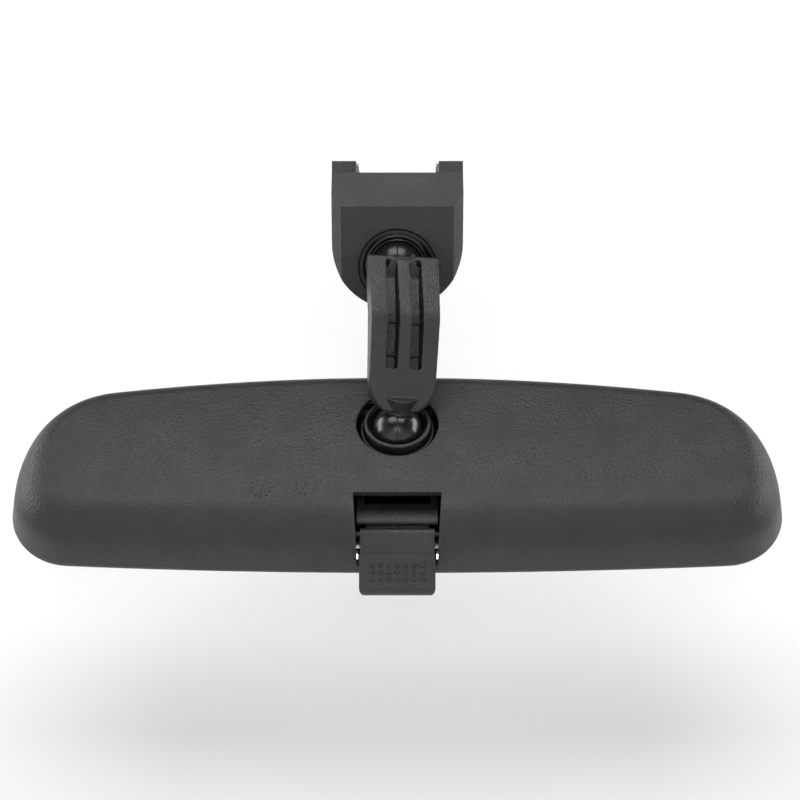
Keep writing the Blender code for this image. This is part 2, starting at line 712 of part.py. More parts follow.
def inner_back():
    """Just inside the back wall, where lugs and ribs root."""
    return BACK_HEIGHT - CASE_WALL / 2


def hinge_lugs():
    outline = [
        (HINGE_UP - 3 * MM, inner_back()),
        (HINGE_UP - 3 * MM, HINGE_DEPTH - 2.6 * MM),
        (HINGE_UP + 2.6 * MM, HINGE_DEPTH - 2.6 * MM),
        (HINGE_UP + 2.6 * MM, -1 * MM),
    ]
    middle = BRACKET_HALF + GAP + LUG_WIDTH / 2
    return [
        side_plate(f"hinge_lug_{side}", outline[::-1], LUG_WIDTH / 2, CASE_FRAME, side * middle)
        for side in (-1, 1)
    ]


def hinge_pin_half():
    return BRACKET_HALF + GAP + LUG_WIDTH


def lever_lugs():
    """Two cheeks that stand on the foot wall, either side of the lever."""
    foot = HEAD_FOOT + CASE_WALL
    outline = [
        (foot, LEVER_DEPTH - 5 * MM),
        (LEVER_UP + 3.5 * MM, LEVER_DEPTH - 5 * MM),
        (LEVER_UP + 3.5 * MM, LEVER_DEPTH + 3 * MM),
        (foot + 2.4 * MM, LEVER_DEPTH + 3 * MM),
    ]
    middle = LEVER_WINDOW_WIDTH / 2 + LUG_WIDTH / 2
    return [
        side_plate(f"lever_lug_{side}", outline[::-1], LUG_WIDTH / 2, CASE_FRAME, side * middle)
        for side in (-1, 1)
    ]


def lever_pin_half():
    return LEVER_WINDOW_WIDTH / 2 + LUG_WIDTH


def glass_front():
    return RIM_DEPTH + LIP_THICKNESS + GAP


def glass_thickness(y):
    share = (y - HEAD_FOOT) / (HEAD_TOP - HEAD_FOOT)
    return GLASS_FOOT + (GLASS_HEAD - GLASS_FOOT) * share


def pad_foot(y):
    return glass_front() + glass_thickness(y) + GAP + COATING + GAP


def pad_ribs():
    """Fins behind each foam pad, from the back wall."""
    ribs = []
    for side in (-1, 1):
        for step in (-1, 0, 1):
            middle = side * PAD_MIDDLE + step * PAD_LENGTH / 3
            low, high = PAD_LEVEL - PAD_HEIGHT / 2, PAD_LEVEL + PAD_HEIGHT / 2
            outline = [
                (low, inner_back()),
                (low, pad_foot(low) + PAD_THICKNESS + GAP),
                (high, pad_foot(high) + PAD_THICKNESS + GAP),
                (high, inner_back()),
            ]
            ribs.append(side_plate(f"pad_rib_{side}_{step}", outline[::-1], 0.7 * MM, CASE_FRAME, middle))
    return ribs


def make_pin(name, radius, half_length, y, z):
    finish(cross_pin(name, radius, half_length, y, z, CASE_FRAME), STEEL)


# Glass


def slope_back(piece, offset):
    """Moves the back points of a plate so that its back follows the prism, and its front too where it must."""
    for vertex in piece.data.vertices:
        if offset is None:
            if vertex.co.z > 0:
                vertex.co.z = glass_thickness(vertex.co.y)
            else:
                vertex.co.z = 0
        else:
            vertex.co.z = glass_thickness(vertex.co.y) + offset + (COATING if vertex.co.z > 0 else 0)


def make_prism_glass():
    inset = CASE_WALL + 2 * GAP
    place = CASE_FRAME @ Matrix.Translation((0, 0, glass_front()))
    glass = plate("prism_glass", flat_outline(inset)[::-1], -MM, MM, place)
    slope_back(glass, None)
    finish(glass, GLASS)
    coating = plate("mirror_coating", flat_outline(inset + GAP)[::-1], -MM, MM, place)
    slope_back(coating, GAP)
    finish(coating, SILVER)


def make_glass_pads():
    low, high = PAD_LEVEL - PAD_HEIGHT / 2, PAD_LEVEL + PAD_HEIGHT / 2
    outline = [
        (low, pad_foot(low)),
        (high, pad_foot(high)),
        (high, pad_foot(high) + PAD_THICKNESS),
        (low, pad_foot(low) + PAD_THICKNESS),
    ]
    for side, name in ((-1, "left"), (1, "right")):
        pad = side_plate(f"glass_pad_{name}", outline, PAD_LENGTH / 2, CASE_FRAME, side * PAD_MIDDLE)
        finish(pad, FOAM)


# Lever


def lever_finger():
    """The finger's side outline about the lever's pin. It leaves the hub low, to stay under the bracket's foot."""
    low, high = HUB_RADIUS - 0.4 * MM, HUB_RADIUS + 1.4 * MM
    tip = arc((FINGER_REACH, -0.2 * MM), FINGER_RADIUS, -1.2, 2.0, 6)
    return [(-0.5 * MM, -0.8 * MM), (0.2 * MM, -HUB_RADIUS), (low, -high), *tip, (low, -low - 0.2 * MM), (0.6 * MM, -0.8 * MM)]


def make_day_night_lever():
    half = LEVER_WIDTH / 2
    top = HUB_RADIUS
    face = top + TAB_RISE
    under = face - TAB_THICKNESS
    corner = TAB_CORNER
    tab = [(-PLATE_LENGTH, face), (-PLATE_LENGTH, under)]
    tab += arc((-TAB_REACH + corner, under + corner), corner, -math.pi / 2, -math.pi, 3)
    tab += arc((-TAB_REACH + 2 * corner, face - 2 * corner), 2 * corner, math.pi, math.pi / 2, 4)
    lever = side_plate("day_night_lever", tab[::-1], half + MM, LEVER_FRAME)
    plan = TAB_PLAN_CORNER
    end = TAB_REACH + 0.05 * MM  # past the side outline, so that no two faces lie in one plane
    outline = [(half, 0)]
    for side in (1, -1):
        start = -math.pi / 2 * (side < 0)
        outline += arc((side * (half - plan), plan - end), plan, start, start - math.pi / 2, 4)
    outline += [(-half, 0)]
    combine(lever, plate("lever_plan", outline, under - MM, face + MM, LEVER_FRAME), "INTERSECT")
    plate_side = [
        (-PLATE_LENGTH - MM, top),
        (-PLATE_LENGTH - MM, top - PLATE_THICKNESS),
        (0, top - PLATE_THICKNESS),
        (0, -HUB_RADIUS),
        (HUB_RADIUS * 0.5, -HUB_RADIUS),
        (HUB_RADIUS * 0.8, top),
    ]
    pivot = CASE_FRAME @ Matrix.Translation((0, LEVER_UP, LEVER_DEPTH))
    join(
        lever,
        side_plate("lever_plate", plate_side[::-1], half - 0.2 * MM, LEVER_FRAME),
        cross_pin("lever_hub", HUB_RADIUS, half, 0, 0, LEVER_FRAME, 20),
        side_plate("lever_finger", lever_finger(), half - 2 * MM, pivot),
    )
    cut(lever, cross_pin("lever_bore", LEVER_PIN_RADIUS + GAP, LEVER_WIDTH, 0, 0, LEVER_FRAME))
    finish(lever, BLACK_PLASTIC)


def leaf_place():
    """The detent leaf's middle: under the hub, on the side of the glass."""
    return LEVER_UP - 2.1 * MM, LEVER_DEPTH - HUB_RADIUS - 0.8 * MM - LEAF_THICKNESS / 2


def leaf_half():
    return LEVER_WINDOW_WIDTH / 2 + LUG_WIDTH - MM


def make_detent_leaf_spring():
    y, z = leaf_place()
    low = (-leaf_half(), y - LEAF_WIDTH / 2, z - LEAF_THICKNESS / 2)
    high = (leaf_half(), y + LEAF_WIDTH / 2, z + LEAF_THICKNESS / 2)
    finish(box("detent_leaf_spring", low, high, CASE_FRAME), STEEL)


for old in list(bpy.data.objects):
    bpy.data.objects.remove(old)
MIRROR = new_collection("Rearview mirror")
HELPERS = new_collection("Cutters")
BLACK_PLASTIC = make_material("Grained black plastic", (0.03, 0.03, 0.033), 0.5)
GLOSSY_BLACK = make_material("Glossy black nylon", (0.015, 0.015, 0.017), 0.2)
STEEL = make_material("Zinc-plated steel", (0.55, 0.55, 0.56), 0.35, 1.0)
GLASS = make_material("Clear glass", (0.9, 0.93, 0.93), 0.03)
SILVER = make_material("Mirror silver", (0.85, 0.86, 0.87), 0.05, 1.0)
FOAM = make_material("Grey foam", (0.2, 0.2, 0.2), 0.9)

make_mount_cover()
make_button_channel()
make_channel_screws()
make_button_spring_clip()
make_upper_ball_cup()
make_cup_retaining_ring()
make_cup_wave_spring()
make_ball_arm()
make_ball_socket_liner()
make_toggle_bracket()
make_socket_clamp_ring()
make_rear_housing()
make_pin("bracket_hinge_pin", HINGE_PIN_RADIUS, hinge_pin_half(), HINGE_UP, HINGE_DEPTH)
make_prism_glass()
make_glass_pads()
make_day_night_lever()
make_pin("lever_pivot_pin", LEVER_PIN_RADIUS, lever_pin_half(), LEVER_UP, LEVER_DEPTH)
make_detent_leaf_spring()
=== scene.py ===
"""Finish of an interior rearview mirror: the case, the ribbed ball arm, the windshield mount, the lever and
the glass, their plastics and metals, and the studio.

Every piece is modelled in its own frame, in metres, and then laid in place, so that its object sits at the
origin. In the case's frame x is the width, y is up and z comes out of the back.
"""

import json
import math

import bpy
from mathutils import Matrix, Vector


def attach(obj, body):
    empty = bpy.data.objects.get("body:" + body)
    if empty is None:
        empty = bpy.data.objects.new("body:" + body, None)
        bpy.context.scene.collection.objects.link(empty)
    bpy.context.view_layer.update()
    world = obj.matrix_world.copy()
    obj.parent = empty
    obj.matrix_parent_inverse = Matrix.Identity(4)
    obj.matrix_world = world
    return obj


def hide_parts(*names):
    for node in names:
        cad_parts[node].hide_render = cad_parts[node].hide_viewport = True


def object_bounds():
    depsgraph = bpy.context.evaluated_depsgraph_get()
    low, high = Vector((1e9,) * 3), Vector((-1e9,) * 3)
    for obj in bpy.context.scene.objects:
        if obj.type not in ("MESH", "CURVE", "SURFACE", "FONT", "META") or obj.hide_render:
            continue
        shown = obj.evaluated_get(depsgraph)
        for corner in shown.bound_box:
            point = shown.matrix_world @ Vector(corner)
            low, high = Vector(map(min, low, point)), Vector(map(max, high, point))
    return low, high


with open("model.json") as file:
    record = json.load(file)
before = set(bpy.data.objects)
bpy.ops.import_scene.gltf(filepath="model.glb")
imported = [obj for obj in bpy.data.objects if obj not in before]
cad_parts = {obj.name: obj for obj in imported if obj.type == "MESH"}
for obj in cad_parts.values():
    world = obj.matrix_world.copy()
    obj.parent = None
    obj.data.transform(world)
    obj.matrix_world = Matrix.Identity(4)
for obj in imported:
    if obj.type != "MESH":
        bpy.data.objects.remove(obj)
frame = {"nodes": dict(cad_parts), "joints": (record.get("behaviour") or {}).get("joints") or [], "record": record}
CAD_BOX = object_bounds()

MM = 0.001
DEGREE = math.pi / 180
QUARTER = math.pi / 2
SMOOTH_ANGLE = 32 * DEGREE

JOINTS = {joint["name"]: joint for joint in frame["joints"]}
MOUNTS = {mount["name"]: mount for mount in frame["record"]["mounts"]}
UPPER_BALL = Vector(JOINTS["arm_swivel"]["pos_m"])
LOWER_BALL = Vector(JOINTS["mirror_yaw"]["pos_m"])
SOCKET_AXIS = Vector(JOINTS["arm_swivel"]["axis"])
WINDSHIELD = Vector(MOUNTS["windshield_button"]["axis"])

# Windshield mount
MOUNT_WIDTH = 43 * MM
MOUNT_LENGTH = 28 * MM
MOUNT_THICKNESS = 17.5 * MM
MOUNT_CHAMFER = 4 * MM
KNEE_DISTANCE = 20.3 * MM
END_RADIUS = MOUNT_WIDTH / 2
END_OFFSET = 7 * MM
CHANNEL_WIDTH = 27 * MM
CHANNEL_DEPTH = 3.9 * MM
CHANNEL_LIP = 1.5 * MM
CHANNEL_SHEET = 0.9 * MM
RAIL_LIP = 0.8 * MM
SCREW_SPACING = 15 * MM
GAP = 0.3 * MM

# Sockets and balls
BALL_RADIUS = 8.5 * MM
SOCKET_SINK = 3 * MM
CUP_RADIUS = BALL_RADIUS + 3.2 * MM
SEAT_RADIUS = BALL_RADIUS + GAP
LINER_RADIUS = SEAT_RADIUS + 0.6 * MM
TUBE_SEAT = LINER_RADIUS + GAP
TUBE_RADIUS = TUBE_SEAT + 0.9 * MM
TUBE_HEIGHT = 4.5 * MM
BRACKET_TILT = 5 * DEGREE
BRACKET_HALF = 12.6 * MM
BRACKET_TOP = -5.6 * MM
BRACKET_SHEET = 1.8 * MM
BRACKET_FOOT = -32.7 * MM
KNUCKLE_RADIUS = 2.6 * MM
HINGE_BORE = 1.8 * MM

# Arm
ARM_TWIST = 8.5 * DEGREE
ARM_HALF_TOP = 11.5 * MM
ARM_HALF_FOOT = 10.7 * MM
ARM_VOXEL = 0.3 * MM
SLOT_WIDTH = 3.6 * MM
CENTRE_RIB = 4.1 * MM

# Case
HEAD_HALF = 122.8 * MM
HEAD_TOP = 22.9 * MM
HEAD_FOOT = -43.6 * MM
TOP_CROWN = 11.18 * MM  # how far the top's bow drops at the ends
FOOT_CROWN = 3.59 * MM
TOP_CROWN_RADIUS = (HEAD_HALF**2 + TOP_CROWN**2) / (2 * TOP_CROWN)
FOOT_CROWN_RADIUS = (HEAD_HALF**2 + FOOT_CROWN**2) / (2 * FOOT_CROWN)
TOP_CORNER = 36 * MM
FOOT_CORNER = 20 * MM
RIM_DEPTH = -18.5 * MM
BACK_HEIGHT = 4.8 * MM
BACK_CROWN = 0.5 * MM  # how far the middle of the back rises
CROWN_SPAN = 0.97  # of the way to the middle line, where the crown is closed
RIM_RADIUS = 4 * MM
TOP_SHOULDER = 6 * MM
TOP_DRAFT = 5 * DEGREE
FOOT_SHOULDER = 13.5 * MM  # where the back turns into the foot and the ends
FOOT_DRAFT = 12 * DEGREE
CASE_WALL = 2.2 * MM
LIP_THICKNESS = 0.8 * MM
LIP_INSET = CASE_WALL + 2.2 * MM
BALL_HOLE_RADIUS = BALL_RADIUS + 4.45 * MM
GLASS_FOOT = 2.4 * MM
GLASS_HEAD = 4.8 * MM
LUG_WIDTH = 2.6 * MM

# Lever
LEVER_WIDTH = 23.6 * MM
LEVER_TILT = 24 * DEGREE
WINDOW_WIDTH = LEVER_WIDTH + 4 * MM  # at its top
WINDOW_TAPER = 1.3 * MM  # on each side, down to the foot
WINDOW_TOP = -26.7 * MM
WINDOW_DEPTH = -12.3 * MM
HUB_RADIUS = 1.9 * MM
LEVER_BORE = 1.2 * MM
PLATE_LENGTH = 6.6 * MM
PLATE_THICKNESS = 2.7 * MM
TAB_REACH = 19.1 * MM
TAB_RISE = 0.9 * MM
TAB_THICKNESS = 4.5 * MM
DOT_COLUMNS = 7
DOT_ROWS = 3
DOT_RADIUS = 0.75 * MM
DOT_ACROSS = 2.62 * MM
DOT_ALONG = 2.15 * MM
DOT_START = 10.2 * MM  # of the first row, down from the pin

MOUNT_FRAME = Matrix.Rotation(math.atan2(-WINDSHIELD.y, WINDSHIELD.z), 4, "X")
CUP_FRAME = Matrix.Translation(UPPER_BALL) @ Matrix.Rotation(
    math.pi - math.atan2(-SOCKET_AXIS.y, -SOCKET_AXIS.z), 4, "X"
)
CASE_FRAME = Matrix.Translation(LOWER_BALL) @ Matrix.Rotation(QUARTER, 4, "X")
BRACKET_FRAME = CASE_FRAME @ Matrix.Rotation(-BRACKET_TILT, 4, "X")
ARM_FRAME = (
    Matrix.Translation(LOWER_BALL)
    @ Matrix.Rotation(ARM_TWIST, 4, UPPER_BALL - LOWER_BALL)
    @ Matrix.Rotation(QUARTER, 4, "X")
)
LEVER_PIVOT = Matrix.Translation(JOINTS["lever_flip"]["pos_m"])
LEVER_FRAME = LEVER_PIVOT @ Matrix.Rotation(QUARTER + LEVER_TILT, 4, "X")
LEVER_FINGER_FRAME = LEVER_PIVOT @ Matrix.Rotation(QUARTER, 4, "X")
SIDE = Matrix(((0, 0, 1, 0), (1, 0, 0, 0), (0, 1, 0, 0), (0, 0, 0, 1)))  # turns (y, z, x) into (x, y, z)


# Modelling


def deselect():
    if bpy.context.mode != "OBJECT":
        bpy.ops.object.mode_set(mode="OBJECT")
    bpy.ops.object.select_all(action="DESELECT")


def activate(piece):
    deselect()
    piece.select_set(True)
    bpy.context.view_layer.objects.active = piece


def edit(piece):
    activate(piece)
    bpy.ops.object.mode_set(mode="EDIT")
    bpy.ops.mesh.select_mode(type="VERT")
    bpy.ops.mesh.select_all(action="SELECT")


def leave_edit():
    bpy.ops.object.mode_set(mode="OBJECT")


def lay(piece, place):
    """Moves a piece into a frame, with its place in its mesh."""
    activate(piece)
    piece.matrix_world = place
    bpy.ops.object.transform_apply(location=True, rotation=True, scale=True)
    return piece


def lathe(name, profile, place, segments=96, closed=False):
    """A circle extruded along a profile of (radius, height) points. An open end is drawn to a point."""
    deselect()
    radius, height = profile[0]
    bpy.ops.mesh.primitive_circle_add(vertices=segments, radius=radius, location=(0, 0, height))
    piece = bpy.context.object
    piece.name = name
    bpy.ops.object.transform_apply(location=True)
    edit(piece)
    if not closed:
        bpy.ops.mesh.extrude_region_move(TRANSFORM_OT_translate={"value": (0, 0, 0)})
        bpy.ops.mesh.merge(type="CENTER")
        leave_edit()
        for vertex in piece.data.vertices:
            vertex.select = vertex.co.xy.length > radius / 2
        bpy.ops.object.mode_set(mode="EDIT")
    steps = list(zip(profile, profile[1:] + profile[:1]))
    for (before, low), (after, high) in steps if closed else steps[:-1]:
        bpy.ops.mesh.extrude_region_move(TRANSFORM_OT_translate={"value": (0, 0, high - low)})
        scale = after / before
        bpy.ops.transform.resize(value=(scale, scale, 1), center_override=(0, 0, 0))
    if not closed:
        bpy.ops.mesh.extrude_region_move(TRANSFORM_OT_translate={"value": (0, 0, 0)})
        bpy.ops.mesh.merge(type="CENTER")
    bpy.ops.mesh.select_all(action="SELECT")
    bpy.ops.mesh.remove_doubles(threshold=1e-6)
    bpy.ops.mesh.normals_make_consistent(inside=False)
    leave_edit()
    return lay(piece, place)


def slab(name, outline, low, high, place):
    """A flat outline of (x, y) points, extruded from z = low to z = high."""
    deselect()
    bpy.ops.mesh.primitive_circle_add(vertices=len(outline), fill_type="NGON")
    piece = bpy.context.object
    piece.name = name
    for vertex, (x, y) in zip(piece.data.vertices, outline):
        vertex.co = (x, y, low)
    edit(piece)
    bpy.ops.mesh.extrude_region_move(TRANSFORM_OT_translate={"value": (0, 0, high - low)})
    bpy.ops.mesh.select_all(action="SELECT")
    bpy.ops.mesh.normals_make_consistent(inside=False)
    leave_edit()
    return lay(piece, place)


def side_slab(name, outline, half, place, middle=0):
    """A side outline of (y, z) points of the frame, extruded across the width."""
    return slab(name, outline, middle - half, middle + half, place @ SIDE)


def block(name, low, high, place):
    outline = [(low[0], low[1]), (high[0], low[1]), (high[0], high[1]), (low[0], high[1])]
    return slab(name, outline, low[2], high[2], place)


def rod(name, radius, low, high, place, segments=48):
    """A cylinder along the frame's z axis."""
    deselect()
    bpy.ops.mesh.primitive_cylinder_add(
        vertices=segments, radius=radius, depth=high - low, location=(0, 0, (low + high) / 2)
    )
    piece = bpy.context.object
    piece.name = name
    bpy.ops.object.transform_apply(location=True)
    return lay(piece, place)


def cross_rod(name, radius, half, place, segments=48):
    """A cylinder along the width, through the frame's origin."""
    return rod(name, radius, -half, half, place @ Matrix.Rotation(QUARTER, 4, "Y"), segments)


def skin(name, rings, place):
    """A grid wrapped round rings of points, sewn along its seam, with both ends filled."""
    deselect()
    around = len(rings[0])
    bpy.ops.mesh.primitive_grid_add(x_subdivisions=around, y_subdivisions=len(rings) - 1)
    piece = bpy.context.object
    piece.name = name
    points = [point for ring in rings for point in [*ring, ring[0]]]
    for vertex, point in zip(piece.data.vertices, points):
        vertex.co = point
    edit(piece)
    bpy.ops.mesh.remove_doubles(threshold=1e-7)
    bpy.ops.mesh.select_all(action="DESELECT")
    bpy.ops.mesh.select_non_manifold()
    bpy.ops.mesh.edge_face_add()
    bpy.ops.mesh.select_all(action="SELECT")
    bpy.ops.mesh.normals_make_consistent(inside=False)
    leave_edit()
    return lay(piece, place)


def apply_modifier(piece, kind, **settings):
    activate(piece)
    modifier = piece.modifiers.new(kind.title(), kind)
    for key, value in settings.items():
        setattr(modifier, key, value)
    bpy.ops.object.modifier_apply(modifier=modifier.name)
    return piece


def combine(piece, operation, *tools):
    for tool in tools:
        apply_modifier(piece, "BOOLEAN", operation=operation, object=tool)
        bpy.data.objects.remove(tool)
    return piece


def cut(piece, *tools):
    return combine(piece, "DIFFERENCE", *tools)


def join(piece, *tools):
    return combine(piece, "UNION", *tools)


def soften(piece, width, angle=40, segments=3):
    """Rounds the edges that are sharper than an angle."""
    return apply_modifier(
        piece, "BEVEL", width=width, segments=segments, limit_method="ANGLE", angle_limit=angle * DEGREE,
        miter_outer="MITER_ARC",
    )


def merge(piece, *others):
    """Joins finished pieces into one object without a cut."""
    activate(piece)
    for other in others:
        other.select_set(True)
    bpy.ops.object.join()
    return piece


def finish(piece, material, body, slot, *nodes):
    """Shades a piece, gives it its finish and its body, and puts it in the place of its CAD nodes."""
    piece.data.materials.clear()
    piece.data.materials.append(material)
    activate(piece)
    bpy.ops.object.shade_smooth_by_angle(angle=SMOOTH_ANGLE)
    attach(piece, body)
    if nodes:
        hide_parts(*nodes)
    return piece


def arc(centre, radius, start, end, steps):
    angles = [start + (end - start) * i / steps for i in range(steps + 1)]
    return [(centre[0] + radius * math.cos(a), centre[1] + radius * math.sin(a)) for a in angles]


def rounded(corners, steps=6):
    """A closed outline through (x, y, radius) corners, with an arc at each."""
    points = []
    for i, (x, y, radius) in enumerate(corners):
        here = Vector((x, y))
        before = (Vector(corners[i - 1][:2]) - here).normalized()
        after = (Vector(corners[(i + 1) % len(corners)][:2]) - here).normalized()
        half = before.angle(after) / 2
        centre = here + (before + after).normalized() * (radius / math.sin(half))
        start = here + before * (radius / math.tan(half)) - centre
        end = here + after * (radius / math.tan(half)) - centre
        first = math.atan2(start.y, start.x)
        sweep = (math.atan2(end.y, end.x) - first + math.pi) % (2 * math.pi) - math.pi
        points += arc(centre, radius, first, first + sweep, steps)
    return points


def side_point(place, y, z):
    point = place @ Vector((0, y, z))
    return point.y, point.z


# Materials


class Nodes:
    """A material's node tree, built a node at a time."""

    def __init__(self, name):
        self.material = bpy.data.materials.new(name)
        self.material.use_nodes = True
        self.tree = self.material.node_tree
        self.shader = self.tree.nodes["Principled BSDF"]
        self.place = self.add("ShaderNodeTexCoord").outputs["Object"]

    def add(self, kind, **settings):
        node = self.tree.nodes.new(kind)
        for key, value in settings.items():
            setattr(node, key, value)
        return node

    def link(self, source, target):
        self.tree.links.new(source, target)

    def set(self, **values):
        for key, value in values.items():
            self.shader.inputs[key.replace("_", " ")].default_value = value

    def noise(self, size, detail=2.0, roughness=0.5):
        """A noise whose blobs are about this size."""
        node = self.add("ShaderNodeTexNoise")
        node.inputs["Scale"].default_value = 1 / size
        node.inputs["Detail"].default_value = detail
        node.inputs["Roughness"].default_value = roughness
        self.link(self.place, node.inputs["Vector"])
        return node.outputs["Fac"]

    def cells(self, size):
        node = self.add("ShaderNodeTexVoronoi", feature="SMOOTH_F1")
        node.inputs["Scale"].default_value = 1 / size
        self.link(self.place, node.inputs["Vector"])
        return node.outputs["Distance"]

    def span(self, value, low, high, start=0.0, end=1.0):
        """Maps start to end onto low to high."""
        node = self.add("ShaderNodeMapRange")
        node.inputs["From Min"].default_value = start
        node.inputs["From Max"].default_value = end
        node.inputs["To Min"].default_value = low
        node.inputs["To Max"].default_value = high
        self.link(value, node.inputs["Value"])
        return node.outputs["Result"]

    def math(self, operation, first, second=0.0):
        node = self.add("ShaderNodeMath", operation=operation)
        for socket, value in zip(node.inputs, (first, second)):
            if isinstance(value, (int, float)):
                socket.default_value = value
            else:
                self.link(value, socket)
        return node.outputs["Value"]

    def tint(self, value, dark, light):
        node = self.add("ShaderNodeValToRGB")
        node.color_ramp.elements[0].position = 0.3
        node.color_ramp.elements[0].color = (*dark, 1)
        node.color_ramp.elements[1].position = 0.7
        node.color_ramp.elements[1].color = (*light, 1)
        self.link(value, node.inputs["Fac"])
        self.link(node.outputs["Color"], self.shader.inputs["Base Color"])

    def bump(self, height, depth, strength=1.0, before=None):
        node = self.add("ShaderNodeBump")
        node.inputs["Distance"].default_value = depth
        node.inputs["Strength"].default_value = strength
        self.link(height, node.inputs["Height"])
        if before is not None:
            self.link(before, node.inputs["Normal"])
        return node.outputs["Normal"]

    def shape(self, normal):
        self.link(normal, self.shader.inputs["Normal"])


def grained_plastic(name, dark, light, roughness, depth):
    """Moulded plastic with a fine leather-like spark grain, handling marks and slightly polished edges."""
    nodes = Nodes(name)
    nodes.tint(nodes.noise(9 * MM, 4), dark, light)
    wear = nodes.span(nodes.noise(14 * MM, 5, 0.6), roughness - 0.05, roughness + 0.06, 0.35, 0.65)
    nodes.link(wear, nodes.shader.inputs["Roughness"])
    nodes.set(Specular_IOR_Level=0.5)
    fine = nodes.math("ADD", nodes.cells(0.7 * MM), nodes.noise(0.45 * MM, 3))
    shallow = nodes.bump(nodes.noise(25 * MM, 2), 0.12 * MM)
    nodes.shape(nodes.bump(fine, depth, 1.0, shallow))
    return nodes.material


def smooth_nylon(name, seam_at=None):
    """Glossy black nylon with faint moulding waves, and a parting line where the mould closed."""
    nodes = Nodes(name)
    nodes.tint(nodes.noise(5 * MM, 3), (0.006, 0.006, 0.007), (0.012, 0.012, 0.013))
    rough = nodes.span(nodes.noise(3 * MM, 4, 0.6), 0.16, 0.3, 0.35, 0.65)
    nodes.link(rough, nodes.shader.inputs["Roughness"])
    normal = nodes.bump(nodes.noise(4 * MM, 2), 0.1 * MM, 0.6)
    if seam_at is not None:
        apart = nodes.add("ShaderNodeSeparateXYZ")
        nodes.link(nodes.place, apart.inputs["Vector"])
        off = nodes.math("ABSOLUTE", nodes.math("SUBTRACT", apart.outputs["X"], seam_at))
        normal = nodes.bump(nodes.span(off, 1, 0, 0, 0.2 * MM), 0.12 * MM, 1.0, normal)
    nodes.shape(normal)
    return nodes.material


def metal(name, color, roughness, grain):
    """Plated or spring steel, with rolling marks and dull patches."""
    nodes = Nodes(name)
    darker = tuple(0.8 * c for c in color)
    nodes.tint(nodes.noise(2.5 * MM, 5, 0.6), darker, color)
    nodes.set(Metallic=1.0)
    rough = nodes.span(nodes.noise(1.2 * MM, 4), roughness - 0.07, roughness + 0.1, 0.35, 0.65)
    nodes.link(rough, nodes.shader.inputs["Roughness"])
    nodes.shape(nodes.bump(nodes.noise(grain, 2), 0.02 * MM, 0.6))
    return nodes.material


def clear_glass():
    nodes = Nodes("Ground prism glass")
    nodes.set(Base_Color=(0.93, 0.97, 0.96, 1), Transmission_Weight=1.0, IOR=1.52)
    rough = nodes.span(nodes.noise(30 * MM, 3), 0.0, 0.02, 0.4, 0.7)
    nodes.link(rough, nodes.shader.inputs["Roughness"])
    return nodes.material


def silvering():
    nodes = Nodes("Mirror silver")
    nodes.tint(nodes.noise(40 * MM, 2), (0.86, 0.87, 0.88), (0.9, 0.905, 0.91))
    nodes.set(Metallic=1.0)
    rough = nodes.span(nodes.noise(20 * MM, 3), 0.02, 0.045, 0.4, 0.7)
    nodes.link(rough, nodes.shader.inputs["Roughness"])
    return nodes.material


def foam():
    nodes = Nodes("Closed-cell foam")
    nodes.tint(nodes.cells(0.8 * MM), (0.05, 0.05, 0.05), (0.13, 0.13, 0.13))
    nodes.set(Roughness=0.9)
    nodes.shape(nodes.bump(nodes.cells(0.6 * MM), 0.2 * MM))
    return nodes.material


CASE_PLASTIC = grained_plastic(
    "Grained case plastic", (0.011, 0.011, 0.012), (0.017, 0.017, 0.019), 0.44, 0.16 * MM
)
ARM_PLASTIC = grained_plastic("Arm plastic", (0.012, 0.012, 0.014), (0.019, 0.019, 0.021), 0.4, 0.13 * MM)
MOUNT_PLASTIC = grained_plastic(
    "Mount plastic", (0.012, 0.012, 0.013), (0.018, 0.018, 0.02), 0.46, 0.16 * MM
)
NYLON = smooth_nylon("Socket nylon")
BALL_NYLON = smooth_nylon("Ball nylon", 0.0)
ZINC = metal("Zinc-plated steel", (0.62, 0.62, 0.6), 0.3, 0.4 * MM)
SPRING = metal("Spring steel", (0.4, 0.4, 0.41), 0.33, 0.3 * MM)
# Blackened steel, which on the clamp band round the lower ball also serves as painted shade for the gap there.
BLACK_STEEL_AND_PAINTED_SHADE = metal("Blackened steel and painted shade", (0.04, 0.04, 0.043), 0.38, 0.3 * MM)
GLASS = clear_glass()
SILVER = silvering()
FOAM = foam()


# Windshield mount


